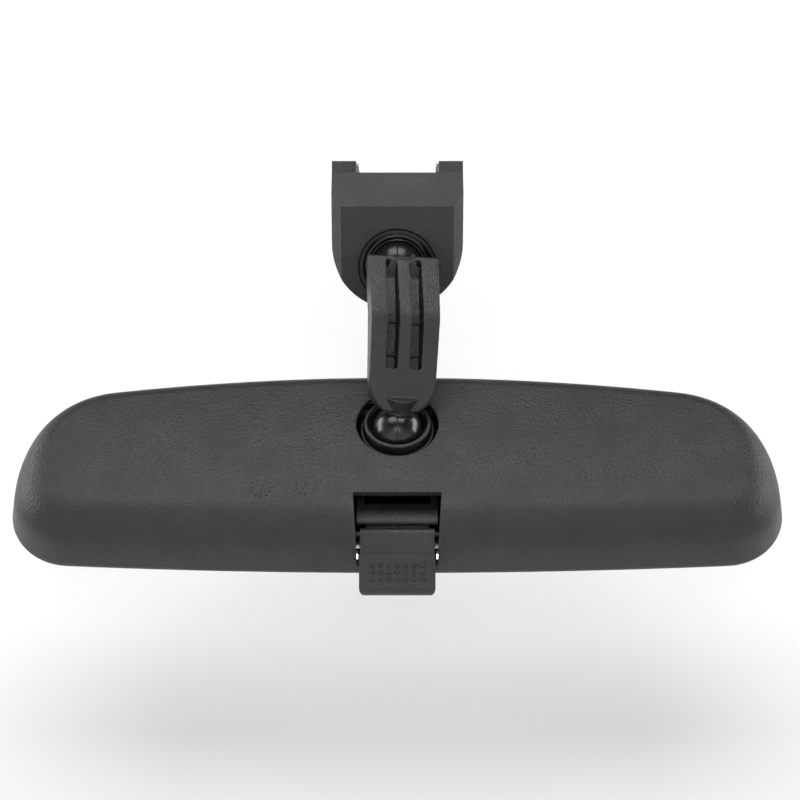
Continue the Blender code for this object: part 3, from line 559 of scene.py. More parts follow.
def make_mount_cover():
    """The mount's block: chamfered sides, a round lower end, a notch for the button and the ball's socket."""
    face, back, beyond, far = SOCKET_SINK, SOCKET_SINK - MOUNT_THICKNESS, END_RADIUS, 2 * MOUNT_LENGTH
    half_length, half = MOUNT_LENGTH / 2, MOUNT_WIDTH / 2
    outline = [
        side_point(MOUNT_FRAME, -half_length, 0),
        side_point(MOUNT_FRAME, -half_length, -CHANNEL_DEPTH),
        side_point(CUP_FRAME, KNEE_DISTANCE, face),
        side_point(CUP_FRAME, -beyond, face),
        side_point(CUP_FRAME, -beyond, back),
        side_point(CUP_FRAME, 0, back),
        side_point(MOUNT_FRAME, half_length, 0),
    ]
    cover = side_slab("windshield_mount", outline, half, Matrix())
    round_end = arc((0, END_OFFSET), END_RADIUS, -math.pi, 0, 64)
    combine(cover, "INTERSECT", slab("front", [*round_end, (half, far), (-half, far)], -far, far, CUP_FRAME))
    across = CUP_FRAME @ Matrix.Rotation(QUARTER, 4, "X")
    for side in (-1, 1):
        edge = [
            (side * (half - MOUNT_CHAMFER), face + MM),
            (side * (half + MM), face + MM),
            (side * (half + MM), face - MOUNT_CHAMFER - MM),
        ]
        cut(cover, slab("chamfer", edge, -far, far, across))
    soften(cover, 1.1 * MM, 18, 4)
    inner = CHANNEL_WIDTH / 2 + CHANNEL_SHEET + GAP
    floor = -CHANNEL_DEPTH - CHANNEL_SHEET - GAP
    notch = [(-CHANNEL_WIDTH / 2, -CHANNEL_DEPTH), (CHANNEL_WIDTH / 2, -CHANNEL_DEPTH)]
    notch += [(CHANNEL_WIDTH / 2 + 0.5 * MM, far), (-CHANNEL_WIDTH / 2 - 0.5 * MM, far)]
    along = MOUNT_FRAME @ Matrix.Rotation(QUARTER, 4, "X")
    cut(
        cover,
        slab("notch", notch, 0, far, along),
        block(
            "recess",
            (-inner, -half_length + CHANNEL_LIP, floor),
            (inner, half_length - CHANNEL_LIP, far),
            MOUNT_FRAME,
        ),
    )
    mouth = CUP_RADIUS + 1 * MM
    bore = [(CUP_RADIUS + GAP, -12.4 * MM), (CUP_RADIUS + GAP, 1.8 * MM), (mouth, 1.8 * MM)]
    bore += [(mouth, 2.75 * MM), (mouth + 0.5 * MM, 3.25 * MM), (mouth + 0.5 * MM, far)]
    cut(cover, lathe("bore", bore, CUP_FRAME))
    soften(cover, 0.22 * MM, 60, 2)
    finish(cover, MOUNT_PLASTIC, "mount", "grained_plastic", "mount_cover")


def make_button_channel():
    """A folded steel channel with two inturned rails, screwed into the mount."""
    half, sheet, top = CHANNEL_WIDTH / 2, CHANNEL_SHEET, -GAP
    floor = -CHANNEL_DEPTH
    right = [(half + sheet, floor - sheet, 0.8 * MM), (half + sheet, top, 0.7 * MM)]
    right += [(half - RAIL_LIP, top, 0.15 * MM), (half - RAIL_LIP, top - sheet, 0.15 * MM)]
    right += [(half, top - sheet, 0.1 * MM), (half, floor, 0.3 * MM)]
    section = right + [(-x, y, radius) for x, y, radius in reversed(right)]
    length = MOUNT_LENGTH - 2 * CHANNEL_LIP - 2 * GAP
    along = MOUNT_FRAME @ Matrix.Rotation(QUARTER, 4, "X")
    channel = slab("steel_channel", rounded(section, 4), -length / 2, length / 2, along)
    for side in (-1, 1):
        place = MOUNT_FRAME @ Matrix.Translation((side * SCREW_SPACING / 2, 0, 0))
        cut(channel, rod("hole", 1.8 * MM, 2 * floor, 0, place))
    finish(channel, ZINC, "mount", "zinc_steel", "button_channel")


def make_channel_screws():
    """Two pan-head screws with a six-sided socket."""
    seat = -CHANNEL_DEPTH + GAP
    profile = [(1.9 * MM, seat + 0.8 * MM), (2.45 * MM, seat + 0.68 * MM), (2.7 * MM, seat + 0.4 * MM)]
    profile += [(2.7 * MM, seat), (1.5 * MM, seat)]
    turns = 7
    for i in range(turns):
        top = seat - (0.8 + i * 0.8) * MM
        profile += [(1.5 * MM, top), (1.2 * MM, top - 0.35 * MM), (1.5 * MM, top - 0.7 * MM)]
    profile += [(0.7 * MM, -CHANNEL_DEPTH - 6.9 * MM)]
    for side, name in ((-1, "left"), (1, "right")):
        place = MOUNT_FRAME @ Matrix.Translation((side * SCREW_SPACING / 2, 0, 0))
        screw = lathe(f"socket_screw_{name}", profile, place, 48)
        cut(screw, rod("socket", 1.15 * MM, seat - 0.2 * MM, seat + 2 * MM, place, 6))
        finish(screw, ZINC, "mount", "zinc_steel", f"channel_screw_{name}")


def make_button_clip():
    """The bowed leaf between the screws."""
    foot, rise, length, sheet = -CHANNEL_DEPTH + GAP, 1.4 * MM, 17 * MM, 0.5 * MM
    radius = ((length / 2) ** 2 + rise**2) / (2 * rise)
    reach = math.asin(length / 2 / radius)
    centre = (0, foot + rise - radius)
    upper = arc(centre, radius + sheet, QUARTER + reach, QUARTER - reach, 32)
    lower = arc(centre, radius, QUARTER - reach, QUARTER + reach, 32)
    clip = soften(side_slab("bowed_clip", upper + lower, 4 * MM, MOUNT_FRAME), 0.12 * MM, 50, 2)
    finish(clip, SPRING, "mount", "spring_steel", "button_spring_clip")


def make_upper_socket():
    """The glossy cup round the upper ball, and the snap ring that holds it."""
    lip, moat = 1.7 * MM, 0.7 * MM
    profile = arc((0, 0), SEAT_RADIUS, -QUARTER + 0.01, math.asin(lip / SEAT_RADIUS), 24)
    edge = profile[-1][0]
    profile += [(edge + 0.2 * MM, lip + 0.1 * MM), (edge + 0.5 * MM, lip), (edge + 0.8 * MM, lip - 0.3 * MM)]
    profile += [(edge + 1.1 * MM, moat + 0.1 * MM), (edge + 1.4 * MM, moat), (CUP_RADIUS - 1.2 * MM, moat)]
    profile += [(CUP_RADIUS - 0.75 * MM, 1.6 * MM), (CUP_RADIUS - 0.5 * MM, 1.8 * MM), (CUP_RADIUS, 1.8 * MM)]
    profile += [(CUP_RADIUS, -8.9 * MM), (CUP_RADIUS - MM, -9.9 * MM), (0.1 * MM, -9.9 * MM)]
    cup = lathe("upper_socket_cup", profile, CUP_FRAME)
    finish(cup, NYLON, "upper_socket", "glossy_nylon", "upper_ball_cup")
    outer, inner, low, high = CUP_RADIUS + 0.7 * MM, CUP_RADIUS - 0.7 * MM, 2.1 * MM, 2.7 * MM
    ring = [(x, y, 0.14 * MM) for x, y in ((outer, high), (outer, low), (inner, low), (inner, high))]
    ring = lathe("snap_ring", rounded(ring, 3), CUP_FRAME, closed=True)
    finish(ring, BLACK_STEEL_AND_PAINTED_SHADE, "mount", "dark_steel", "cup_retaining_ring")


# Arm


def neck(name, radius, start, lean, length, flare):
    """A round neck that widens towards the arm."""
    place = ARM_FRAME @ Matrix.Translation((0, *start)) @ Matrix.Rotation(-lean, 4, "X")
    profile = [(radius, 0), (radius, length * 0.62), (radius * (1 + flare) / 2 + radius / 2, length * 0.8)]
    profile += [(radius * (1 + flare), length)]
    return lathe(name, profile, place, 48)


def make_arm():
    """The ribbed arm, fused with its necks, with the softened edges of a moulding."""
    side = [
        (-0.1 * MM, 8.9 * MM, 0.5 * MM),
        (23.2 * MM, 30.4 * MM, 10 * MM),
        (46.8 * MM, 32.6 * MM, 0.7 * MM),
        (46.4 * MM, 27.8 * MM, 0.7 * MM),
        (38 * MM, 24.2 * MM, 4 * MM),
        (30 * MM, 22.8 * MM, 5 * MM),
        (11 * MM, 11.4 * MM, 3 * MM),
        (5.2 * MM, 9.2 * MM, 0.5 * MM),
    ]
    arm = side_slab("ribbed_arm", rounded(side), ARM_HALF_TOP + MM, ARM_FRAME)
    foot, top = 8.6 * MM, 50 * MM
    turns = [math.pi * i / 40 for i in range(41)]
    end = [(ARM_HALF_FOOT * math.cos(turn), foot - 8.9 * MM * math.sin(turn)) for turn in turns]
    front = slab("front", [(ARM_HALF_TOP, top), *end, (-ARM_HALF_TOP, top)], 0, top, ARM_FRAME)
    combine(arm, "INTERSECT", front)
    soften(arm, 0.8 * MM, 45, 3)
    above = 45 * MM
    slot = [(10.8 * MM, above, 0.1 * MM), (10.8 * MM, 13.9 * MM, 0.5 * MM), (28 * MM, 24.6 * MM, 4 * MM)]
    slot += [(45 * MM, 28.6 * MM, 0.5 * MM), (45 * MM, above, 0.1 * MM)]
    for hand in (-1, 1):
        middle = hand * (CENTRE_RIB + SLOT_WIDTH) / 2
        pocket = side_slab("slot", rounded(slot, 4), SLOT_WIDTH / 2, ARM_FRAME, middle)
        for y, z in ((25.5 * MM, 24.2 * MM), (16.5 * MM, 18.6 * MM)):
            web = ARM_FRAME @ Matrix.Translation((middle, y, z)) @ Matrix.Rotation(38 * DEGREE, 4, "X")
            cut(pocket, block("web", (-3 * MM, -0.4 * MM, -6 * MM), (3 * MM, 0.4 * MM, 0), web))
        cut(arm, pocket)
    up = UPPER_BALL - LOWER_BALL
    merge(
        arm,
        neck("lower_neck", 4.3 * MM, (0, 0), 28 * DEGREE, 13 * MM, 0.35),
        neck("upper_neck", 4.5 * MM, (up.z, -up.y), -53 * DEGREE, 13 * MM, 0.2),
    )
    apply_modifier(arm, "REMESH", mode="VOXEL", voxel_size=ARM_VOXEL, use_smooth_shade=True)
    apply_modifier(arm, "SMOOTH", factor=0.5, iterations=9)
    finish(arm, ARM_PLASTIC, "arm", "grained_plastic", "ball_arm")


def make_balls():
    for name, centre in (("upper_ball", UPPER_BALL), ("lower_ball", LOWER_BALL)):
        deselect()
        bpy.ops.mesh.primitive_uv_sphere_add(segments=96, ring_count=64, radius=BALL_RADIUS)
        ball = bpy.context.object
        ball.name = name
        edit(ball)
        bpy.ops.transform.resize(value=(1, 0.995, 1), center_override=(0, 0, 0))
        leave_edit()
        lay(ball, Matrix.Translation(centre))
        finish(ball, BALL_NYLON, "arm", "grained_plastic")


# Lower socket and bracket


def make_socket_liner():
    lip = 2.6 * MM
    outer = arc((0, 0), LINER_RADIUS, math.asin(lip / LINER_RADIUS), -1.07, 24)
    inner = arc((0, 0), SEAT_RADIUS, -1.035, math.asin(lip / SEAT_RADIUS), 24)
    middle = (outer[0][0] + inner[-1][0]) / 2
    profile = outer + inner + [(middle, lip + 0.15 * MM)]
    liner = lathe("lower_socket_liner", profile, BRACKET_FRAME, closed=True)
    finish(liner, NYLON, "lower_socket", "glossy_nylon", "ball_socket_liner")


def make_bracket():
    """The tube that holds the lower ball, on a plate with the hinge at its top and the foot below."""
    hinge = BRACKET_FRAME.inverted() @ Vector(JOINTS["day_night_tilt"]["pos_m"])
    under = BRACKET_TOP - BRACKET_SHEET
    above, below = (math.asin((z - hinge.z) / KNUCKLE_RADIUS) for z in (BRACKET_TOP, under))
    plate = arc((hinge.y, hinge.z), KNUCKLE_RADIUS, math.pi - above, -math.pi - below, 40)
    plate += arc((BRACKET_FOOT + 0.6 * MM, under + 0.6 * MM), 0.6 * MM, -QUARTER, -math.pi, 4)
    plate += arc((BRACKET_FOOT + 0.8 * MM, BRACKET_TOP - 0.8 * MM), 0.8 * MM, math.pi, QUARTER, 4)
    bracket = side_slab("swivel_bracket", plate, BRACKET_HALF, BRACKET_FRAME)
    opening = [(x, y, MM) for x, y in ((-10.4, -25.7), (10.4, -25.7), (10.4, -13.3), (-10.4, -13.3))]
    opening = [(x * MM, y * MM, radius) for x, y, radius in opening]
    cut(bracket, slab("opening", rounded(opening), -12 * MM, 0, BRACKET_FRAME))
    rim = TUBE_RADIUS - 0.45 * MM
    tube = [(rim - 0.3 * MM, TUBE_HEIGHT), (rim + 0.2 * MM, TUBE_HEIGHT - 0.05 * MM)]
    tube += [(TUBE_RADIUS, TUBE_HEIGHT - 0.4 * MM)]
    tube += arc((0, 0), TUBE_RADIUS, 0, -QUARTER + 0.01, 24)
    seat_top = TUBE_HEIGHT - 1.3 * MM
    seat = [(TUBE_RADIUS - 0.9 * MM, 2 * TUBE_HEIGHT), (TUBE_RADIUS - 0.9 * MM, TUBE_HEIGHT - 0.3 * MM)]
    seat += arc((0, 0), TUBE_SEAT, math.asin(seat_top / TUBE_SEAT), -QUARTER + 0.01, 28)
    join(bracket, lathe("tube", tube, BRACKET_FRAME))
    pin = cross_rod("bore", HINGE_BORE, 20 * MM, BRACKET_FRAME @ Matrix.Translation(hinge))
    cut(bracket, lathe("seat", seat, BRACKET_FRAME), pin)
    finish(bracket, ARM_PLASTIC, "bracket", "grained_plastic", "toggle_bracket")


def make_clamp_ring():
    """A rolled steel band with two beads."""
    inner, outer = TUBE_RADIUS + GAP, TUBE_RADIUS + GAP + MM
    low, high = TUBE_HEIGHT - 7.2 * MM, TUBE_HEIGHT - 3.2 * MM
    middle = (low + high) / 2
    waist = outer - 0.4 * MM
    band = [(outer, high, 0.3 * MM), (outer, middle + 0.9 * MM, 0.2 * MM)]
    band += [(waist, middle + 0.6 * MM, 0.2 * MM), (waist, middle - 0.6 * MM, 0.2 * MM)]
    band += [(outer, middle - 0.9 * MM, 0.2 * MM), (outer, low, 0.3 * MM)]
    band += [(inner, low, 0.1 * MM), (inner, high, 0.1 * MM)]
    ring = lathe("tube_clamp_band", rounded(band, 3), BRACKET_FRAME, closed=True)
    # The band is given blackened steel as painted shade, so that the gap round the lower ball reads black.
    finish(ring, BLACK_STEEL_AND_PAINTED_SHADE, "bracket", "dark_steel", "socket_clamp_ring")


# Case


def facing_arc(centre, radius, start, end, steps):
    """Points on an arc, each with the angle that it faces."""
    return [
        (*point, start + (end - start) * i / steps)
        for i, point in enumerate(arc(centre, radius, start, end, steps))
    ]


def case_outline(fine):
    """The case's outline as (x, y, angle it faces): a crowned top, round corners and a bowed foot."""
    x = HEAD_HALF - TOP_CORNER
    top_centre = HEAD_TOP - TOP_CROWN_RADIUS
    reach = math.asin(x / (TOP_CROWN_RADIUS - TOP_CORNER))
    corner_y = top_centre + (TOP_CROWN_RADIUS - TOP_CORNER) * math.cos(reach)
    foot_centre = HEAD_FOOT + FOOT_CROWN_RADIUS
    foot_x = HEAD_HALF - FOOT_CORNER
    foot_reach = math.asin(foot_x / (FOOT_CROWN_RADIUS - FOOT_CORNER))
    foot_y = foot_centre - (FOOT_CROWN_RADIUS - FOOT_CORNER) * math.cos(foot_reach)
    half = facing_arc((0, top_centre), TOP_CROWN_RADIUS, QUARTER, QUARTER - reach, 5 * fine)[:-1]
    half += facing_arc((x, corner_y), TOP_CORNER, QUARTER - reach, 0, 6 * fine)
    half += facing_arc((foot_x, foot_y), FOOT_CORNER, 0, -QUARTER + foot_reach, 5 * fine)
    half += facing_arc((0, foot_centre), FOOT_CROWN_RADIUS, -QUARTER + foot_reach, -QUARTER, 6 * fine)[1:]
    return half + [(-x, y, math.pi - angle) for x, y, angle in reversed(half[1:-1])]


def inset_ring(outline, top, foot):
    """The outline set in and raised by (height, inset), one along the top and one along the ends and foot."""
    ring = []
    for x, y, angle in outline:
        share = min(1, 1 - math.sin(angle))
        share = share * share * (3 - 2 * share)
        height, inset = ((1 - share) * a + share * b for a, b in zip(top, foot))
        ring.append((x - math.cos(angle) * inset, y - math.sin(angle) * inset, height))
    return ring


def shoulder(radius, draft, wall, steps):
    """(height, inset) up the drafted wall and the round shoulder."""
    height = BACK_HEIGHT - BACK_CROWN - radius
    wall_length = height + radius * math.sin(draft) - (RIM_DEPTH + RIM_RADIUS)
    inset = wall_length * math.tan(draft) + radius * math.cos(draft)
    return [(z, inset - x) for x, z in arc((0, height), radius - wall, draft, QUARTER, steps)]


def shoulder_rings(outline, wall, steps):
    top = shoulder(TOP_SHOULDER, TOP_DRAFT, wall, steps)
    foot = shoulder(FOOT_SHOULDER, FOOT_DRAFT, wall, steps)
    return [inset_ring(outline, *pair) for pair in zip(top, foot)]


def crown_rings(ring, steps):
    """Rings that close over the back towards its middle line, rising into a shallow crown."""
    middle = (min(y for _, y, _ in ring) + max(y for _, y, _ in ring)) / 2
    reach = max(x for x, _, _ in ring) - (max(y for _, y, _ in ring) - middle)
    rings = []
    for i in range(1, steps + 1):
        share = CROWN_SPAN * i / steps
        rise = BACK_CROWN * (1 - (1 - share) ** 2)
        rings.append(
            [
                (x + share * (max(-reach, min(reach, x)) - x), y + share * (middle - y), z + rise)
                for x, y, z in ring
            ]
        )
    return rings


def make_case():
    """The long black shell: a rolled rim round the glass, and openings for the ball and the lever."""
    outline = case_outline(5)
    rim = [
        inset_ring(outline, (z, RIM_RADIUS - x), (z, RIM_RADIUS - x))
        for x, z in arc((0, RIM_DEPTH + RIM_RADIUS), RIM_RADIUS, -QUARTER, 0, 8)
    ]
    sides = shoulder_rings(outline, 0, 16)
    case = skin("mirror_case", rim + sides + crown_rings(sides[-1], 8), CASE_FRAME)
    shelf = RIM_DEPTH + LIP_THICKNESS
    rough = case_outline(2)
    straight = [
        inset_ring(rough, (z, CASE_WALL), (z, CASE_WALL)) for z in (shelf, RIM_DEPTH + RIM_RADIUS)
    ]
    cavity = skin("cavity", straight + shoulder_rings(rough, CASE_WALL, 6), CASE_FRAME)
    fine = case_outline(4)
    lips = [(RIM_DEPTH - MM, LIP_INSET - 0.6 * MM), (RIM_DEPTH + 0.05 * MM, LIP_INSET - 0.3 * MM)]
    lips += [(RIM_DEPTH + 0.35 * MM, LIP_INSET), (shelf + MM, LIP_INSET)]
    opening = skin("opening", [inset_ring(fine, lip, lip) for lip in lips], CASE_FRAME)
    hole = [(BALL_HOLE_RADIUS, 0), (BALL_HOLE_RADIUS, BACK_HEIGHT - 0.45 * MM)]
    hole += [(BALL_HOLE_RADIUS + 0.5 * MM, BACK_HEIGHT + 0.1 * MM), (BALL_HOLE_RADIUS + 0.5 * MM, 10 * MM)]
    half = WINDOW_WIDTH / 2
    narrow = half - WINDOW_TAPER
    window = [(-narrow, HEAD_FOOT - MM, 0.1 * MM), (narrow, HEAD_FOOT - MM, 0.1 * MM)]
    window += [(half, WINDOW_TOP, 0.5 * MM), (-half, WINDOW_TOP, 0.5 * MM)]
    cut(case, cavity, opening, lathe("hole", hole, CASE_FRAME))
    join(case, *case_lugs())
    cut(case, slab("window", rounded(window, 4), WINDOW_DEPTH, 10 * MM, CASE_FRAME), *pin_holes())
    soften(case, 0.25 * MM, 50, 2)
    finish(case, CASE_PLASTIC, "head", "grained_plastic", "rear_housing")


def in_case(name):
    """A joint's place in the case's frame."""
    return CASE_FRAME.inverted() @ Vector(JOINTS[name]["pos_m"])


def case_lugs():
    """Cheeks for the bracket's hinge pin and for the lever's pin."""
    hinge, lever = in_case("day_night_tilt"), in_case("lever_flip")
    root = BACK_HEIGHT - CASE_WALL / 2
    upper = [
        (hinge.y - 3 * MM, root, 0.1 * MM),
        (hinge.y - 3 * MM, hinge.z - 2.6 * MM, 2.4 * MM),
        (hinge.y + 2.6 * MM, hinge.z - 2.6 * MM, 2.4 * MM),
        (hinge.y + 2.6 * MM, -1 * MM, 0.1 * MM),
    ]
    lower = [
        (HEAD_FOOT + CASE_WALL, lever.z - 5 * MM, 0.1 * MM),
        (lever.y + 3.5 * MM, lever.z - 5 * MM, 1.5 * MM),
        (lever.y + 3.5 * MM, lever.z + 3 * MM, 1.5 * MM),
        (HEAD_FOOT + 4.6 * MM, lever.z + 3 * MM, 0.1 * MM),
    ]
    half = LUG_WIDTH / 2
    lugs = []
    for side in (-1, 1):
        hinge_middle = side * (BRACKET_HALF + GAP + half)
        lever_middle = side * (WINDOW_WIDTH / 2 + half)
        lugs.append(side_slab("hinge_lug", rounded(upper), half, CASE_FRAME, hinge_middle))
        lugs.append(side_slab("lever_lug", rounded(lower), half, CASE_FRAME, lever_middle))
    return lugs


def pin_holes():
    hinge, lever = in_case("day_night_tilt"), in_case("lever_flip")
    return [
        cross_rod("hinge_hole", HINGE_BORE, 15.8 * MM, CASE_FRAME @ Matrix.Translation(hinge)),
        cross_rod("lever_hole", LEVER_BORE, 16.7 * MM, CASE_FRAME @ Matrix.Translation(lever)),
        block(
            "leaf_slot",
            (-15.7 * MM, lever.y - 3.7 * MM, lever.z - 3.5 * MM),
            (15.7 * MM, lever.y - 0.5 * MM, lever.z - 2.4 * MM),
            CASE_FRAME,
        ),
    ]


def make_mould_dials():
    """Two round mould marks: a ring of twelve strokes and a pointer, standing just proud of the back."""
    thin, sunk, proud = 0.16 * MM, -0.2 * MM, 0.3 * MM
    marks = []
    for x, y, turn in ((-42.2 * MM, -24.9 * MM, 70), (-28.6 * MM, -24.1 * MM, 65)):
        # The marks are near the back's edge, where its shallow crown has hardly risen.
        centre = Matrix.Translation((x, y, BACK_HEIGHT - BACK_CROWN))
        for i in range(12):
            place = CASE_FRAME @ centre @ Matrix.Rotation(i * 30 * DEGREE, 4, "Z")
            marks.append(block("stroke", (-thin, 2.75 * MM, sunk), (thin, 3.75 * MM, proud), place))
        place = CASE_FRAME @ centre @ Matrix.Rotation(turn * DEGREE, 4, "Z")
        pointer = [(-1.6, -0.16), (0.7, -0.16), (0.7, -0.6), (1.9, 0), (0.7, 0.6), (0.7, 0.16), (-1.6, 0.16)]
        marks.append(slab("pointer", [(a * MM, b * MM) for a, b in pointer], sunk, proud, place))
    dials = merge(marks[0], *marks[1:])
    dials.name = "mould_dials"
    finish(dials, CASE_PLASTIC, "head", "grained_plastic")


def glass_thickness(y):
    share = (y - HEAD_FOOT) / (HEAD_TOP - HEAD_FOOT)
    return GLASS_FOOT + (GLASS_HEAD - GLASS_FOOT) * share


def make_glass():
    """The wedge of glass, thick at the top, and the silver on its back."""
    outline = case_outline(5)
    front = RIM_DEPTH + LIP_THICKNESS + GAP

    def ring(inset, height):
        flat = inset_ring(outline, (0, inset), (0, inset))
        return [(x, y, front + glass_thickness(y) + height) for x, y, _ in flat]

    inset = CASE_WALL + 2 * GAP
    face = [inset_ring(outline, (front, inset + 0.4 * MM), (front, inset + 0.4 * MM))]
    face += [inset_ring(outline, (front + 0.4 * MM, inset), (front + 0.4 * MM, inset))]
    back = [ring(inset, -0.4 * MM), ring(inset + 0.4 * MM, 0)]
    finish(skin("prism", face + back, CASE_FRAME), GLASS, "head", "clear_glass", "prism_glass")
    coat = [ring(inset + 0.5 * MM, 0.02 * MM), ring(inset + 0.5 * MM, 0.2 * MM)]
    finish(skin("silver_coat", coat, CASE_FRAME), SILVER, "head", "mirror_silver", "mirror_coating")


# Lever


def make_lever():
    """The dimming tab: a hub on its pin, a thin plate in the window and a bevelled tab with raised dots."""
    half, top = LEVER_WIDTH / 2, HUB_RADIUS
    face, under = top + TAB_RISE, top + TAB_RISE - TAB_THICKNESS
    tab = [(-PLATE_LENGTH, face, 0.3 * MM), (-PLATE_LENGTH, under, 0.2 * MM)]
    tab += [(-TAB_REACH, under, 1.4 * MM), (-TAB_REACH, face, 2.8 * MM)]
    end = TAB_REACH + 0.05 * MM
    plan = [(half, 0, 0.1 * MM), (half, -end, 2 * MM), (-half, -end, 2 * MM), (-half, 0, 0.1 * MM)]
    lever = side_slab("dimming_lever", rounded(tab), half + MM, LEVER_FRAME)
    combine(lever, "INTERSECT", slab("plan", rounded(plan), under - MM, face + MM, LEVER_FRAME))
    soften(lever, 1.1 * MM, 60, 4)
    low = top - PLATE_THICKNESS
    web = arc((0, 0), HUB_RADIUS, QUARTER, -math.pi - math.asin(low / HUB_RADIUS), 40)
    web += [(-PLATE_LENGTH - MM, low), (-PLATE_LENGTH - MM, top)]
    root, heel = HUB_RADIUS - 0.4 * MM, HUB_RADIUS + 1.4 * MM
    finger = [(-0.5 * MM, -0.8 * MM), (0.2 * MM, -HUB_RADIUS), (root, -heel)]
    finger += arc((7.1 * MM, -0.2 * MM), MM, -1.2, 2.0, 16)
    finger += [(root, -root - 0.2 * MM), (0.6 * MM, -0.8 * MM)]
    join(
        lever,
        side_slab("web", web, half - 0.2 * MM, LEVER_FRAME),
        side_slab("finger", finger, half - 2 * MM, LEVER_FINGER_FRAME),
    )
    cut(lever, cross_rod("bore", LEVER_BORE, LEVER_WIDTH, LEVER_FRAME))
    finish(lever, ARM_PLASTIC, "lever", "grained_plastic", "day_night_lever")
    make_lever_dots(face)


def make_lever_dots(face):
    """Seven by three low domes, one modelled and the rest copied."""
    deselect()
    bpy.ops.mesh.primitive_uv_sphere_add(segments=16, ring_count=8, radius=DOT_RADIUS)
    dot = bpy.context.object
    edit(dot)
    bpy.ops.transform.resize(value=(1, 1, 0.62), center_override=(0, 0, 0))
    leave_edit()
    dots = []
    for column in range(DOT_COLUMNS):
        for row in range(DOT_ROWS):
            copy = dot.copy()
            copy.data = dot.data.copy()
            bpy.context.scene.collection.objects.link(copy)
            across = (column - (DOT_COLUMNS - 1) / 2) * DOT_ACROSS
            place = Matrix.Translation((across, -DOT_START - row * DOT_ALONG, face))
            dots.append(lay(copy, LEVER_FRAME @ place))
    bpy.data.objects.remove(dot)
    dots = merge(dots[0], *dots[1:])
    dots.name = "lever_dots"
    finish(dots, ARM_PLASTIC, "lever", "grained_plastic")


def finish_frame_nodes():
    """The small hidden pieces keep their own shape and get their finish."""
    finishes = {
        "cup_wave_spring": SPRING,
        "detent_leaf_spring": SPRING,
        "bracket_hinge_pin": ZINC,
        "lever_pivot_pin": BLACK_STEEL_AND_PAINTED_SHADE,
        "glass_pad_left": FOAM,
        "glass_pad_right": FOAM,
    }
    for name, material in finishes.items():
        node = frame["nodes"][name]
        node.data.materials.clear()
        node.data.materials.append(material)


# Studio


TO_CAMERA = Vector((0, -0.788, -0.616))
CAMERA_UP = Vector((0, -0.616, 0.788))
CAMERA_RIGHT = Vector((1, 0, 0))
CAMERA_DISTANCE = 605 * MM
CAMERA_RISE = 10.1 * MM
CAMERA_SHIFT = 0.85 * MM
BACKDROP_DISTANCE = 80 * MM  # clear of the case in every pose
PAPER_SIZE = 6
PAPER_COLOR = (0.75, 0.75, 0.755)
FLOOR_DROP = 0.7


def make_camera():
    camera = bpy.data.objects.new("Camera", bpy.data.cameras.new("Camera"))
    bpy.context.scene.collection.objects.link(camera)
    camera.data.lens = 85
    camera.data.sensor_width = 36
    camera.data.clip_start = 0.01
    place = LOWER_BALL + CAMERA_RISE * CAMERA_UP + CAMERA_DISTANCE * TO_CAMERA + CAMERA_SHIFT * CAMERA_RIGHT
    axes = Matrix((CAMERA_RIGHT, CAMERA_UP, TO_CAMERA)).transposed().to_4x4()
    camera.matrix_world = Matrix.Translation(place) @ axes
    bpy.context.scene.camera = camera


def add_light(name, direction, distance, size, power):
    """A rectangular soft light that faces the object from a direction."""
    light = bpy.data.objects.new(name, bpy.data.lights.new(name, "AREA"))
    bpy.context.scene.collection.objects.link(light)
    light.data.shape = "RECTANGLE"
    light.data.size, light.data.size_y = size
    light.data.energy = power
    direction = Vector(direction).normalized()
    light.location = LOWER_BALL + direction * distance
    light.rotation_euler = direction.to_track_quat("Z", "Y").to_euler()


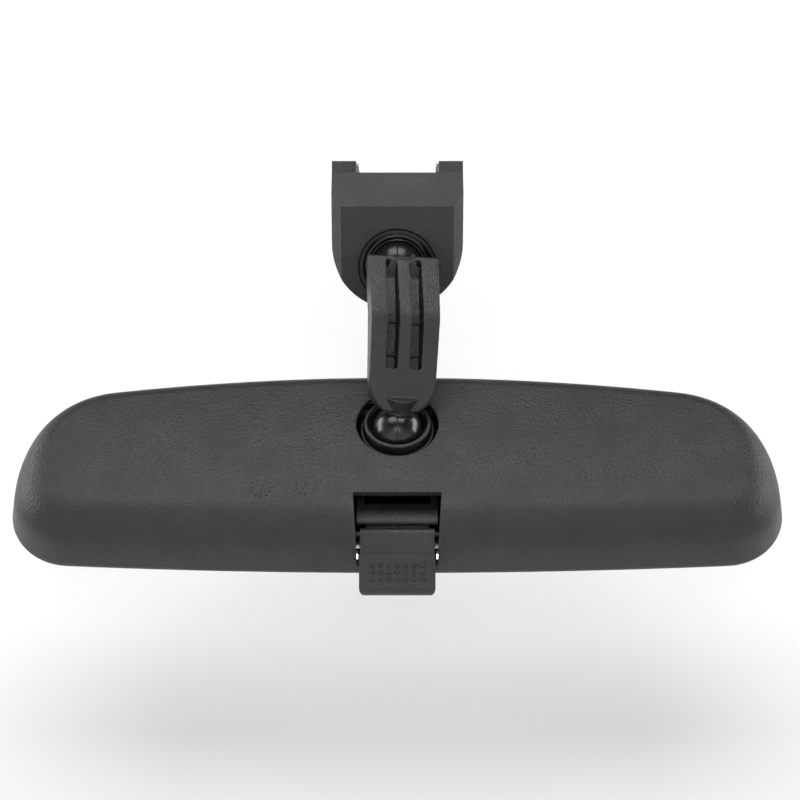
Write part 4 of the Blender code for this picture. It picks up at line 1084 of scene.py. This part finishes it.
def one_sided(name, color, glow):
    """A matt paper that is seen from its front only."""
    nodes = Nodes(name)
    nodes.tint(nodes.noise(0.4, 2), tuple(c * 0.99 for c in color), color)
    nodes.set(Roughness=0.9, Specular_IOR_Level=0.1, Emission_Color=(*color, 1), Emission_Strength=glow)
    clear = nodes.add("ShaderNodeBsdfTransparent")
    mix = nodes.add("ShaderNodeMixShader")
    nodes.link(nodes.add("ShaderNodeNewGeometry").outputs["Backfacing"], mix.inputs["Fac"])
    nodes.link(nodes.shader.outputs["BSDF"], mix.inputs[1])
    nodes.link(clear.outputs["BSDF"], mix.inputs[2])
    nodes.link(mix.outputs["Shader"], nodes.tree.nodes["Material Output"].inputs["Surface"])
    return nodes.material


def add_paper(name, location, rotation, material):
    deselect()
    bpy.ops.mesh.primitive_plane_add(size=PAPER_SIZE, location=location, rotation=rotation)
    paper = bpy.context.object
    paper.name = name
    paper.data.materials.append(material)


def make_studio():
    rim = LOWER_BALL.y - RIM_DEPTH
    paper = one_sided("Backdrop paper", PAPER_COLOR, 0.15)
    add_paper("backdrop", (0, rim + BACKDROP_DISTANCE, 0), (QUARTER, 0, 0), paper)
    floor = one_sided("Floor paper", PAPER_COLOR, 0.28)
    add_paper("floor", (0, 0, CAD_BOX[0][2] - FLOOR_DROP), (0, 0, 0), floor)
    world = bpy.data.worlds.new("Studio")
    bpy.context.scene.world = world
    world.use_nodes = True
    background = world.node_tree.nodes["Background"]
    background.inputs["Color"].default_value = (0.95, 0.96, 1.0, 1)
    background.inputs["Strength"].default_value = 0.09
    add_light("key", (-0.05, -0.9, 0.4), 1.2, (1.3, 0.7), 11)
    add_light("left", (-1, -0.25, 0.3), 1.1, (0.4, 0.9), 7)
    add_light("right", (1, -0.25, 0.3), 1.1, (0.4, 0.9), 7)
    add_light("front", (0, -0.9, -0.45), 1.4, (0.5, 0.3), 2.5)
    add_light("glass_side", (0.3, 1, 0.35), 1.3, (1.2, 1.2), 8)
    bpy.context.scene.view_settings.view_transform = "Standard"


make_mount_cover()
make_button_channel()
make_channel_screws()
make_button_clip()
make_upper_socket()
make_arm()
make_balls()
make_socket_liner()
make_bracket()
make_clamp_ring()
make_case()
make_mould_dials()
make_glass()
make_lever()
finish_frame_nodes()
make_camera()
make_studio()
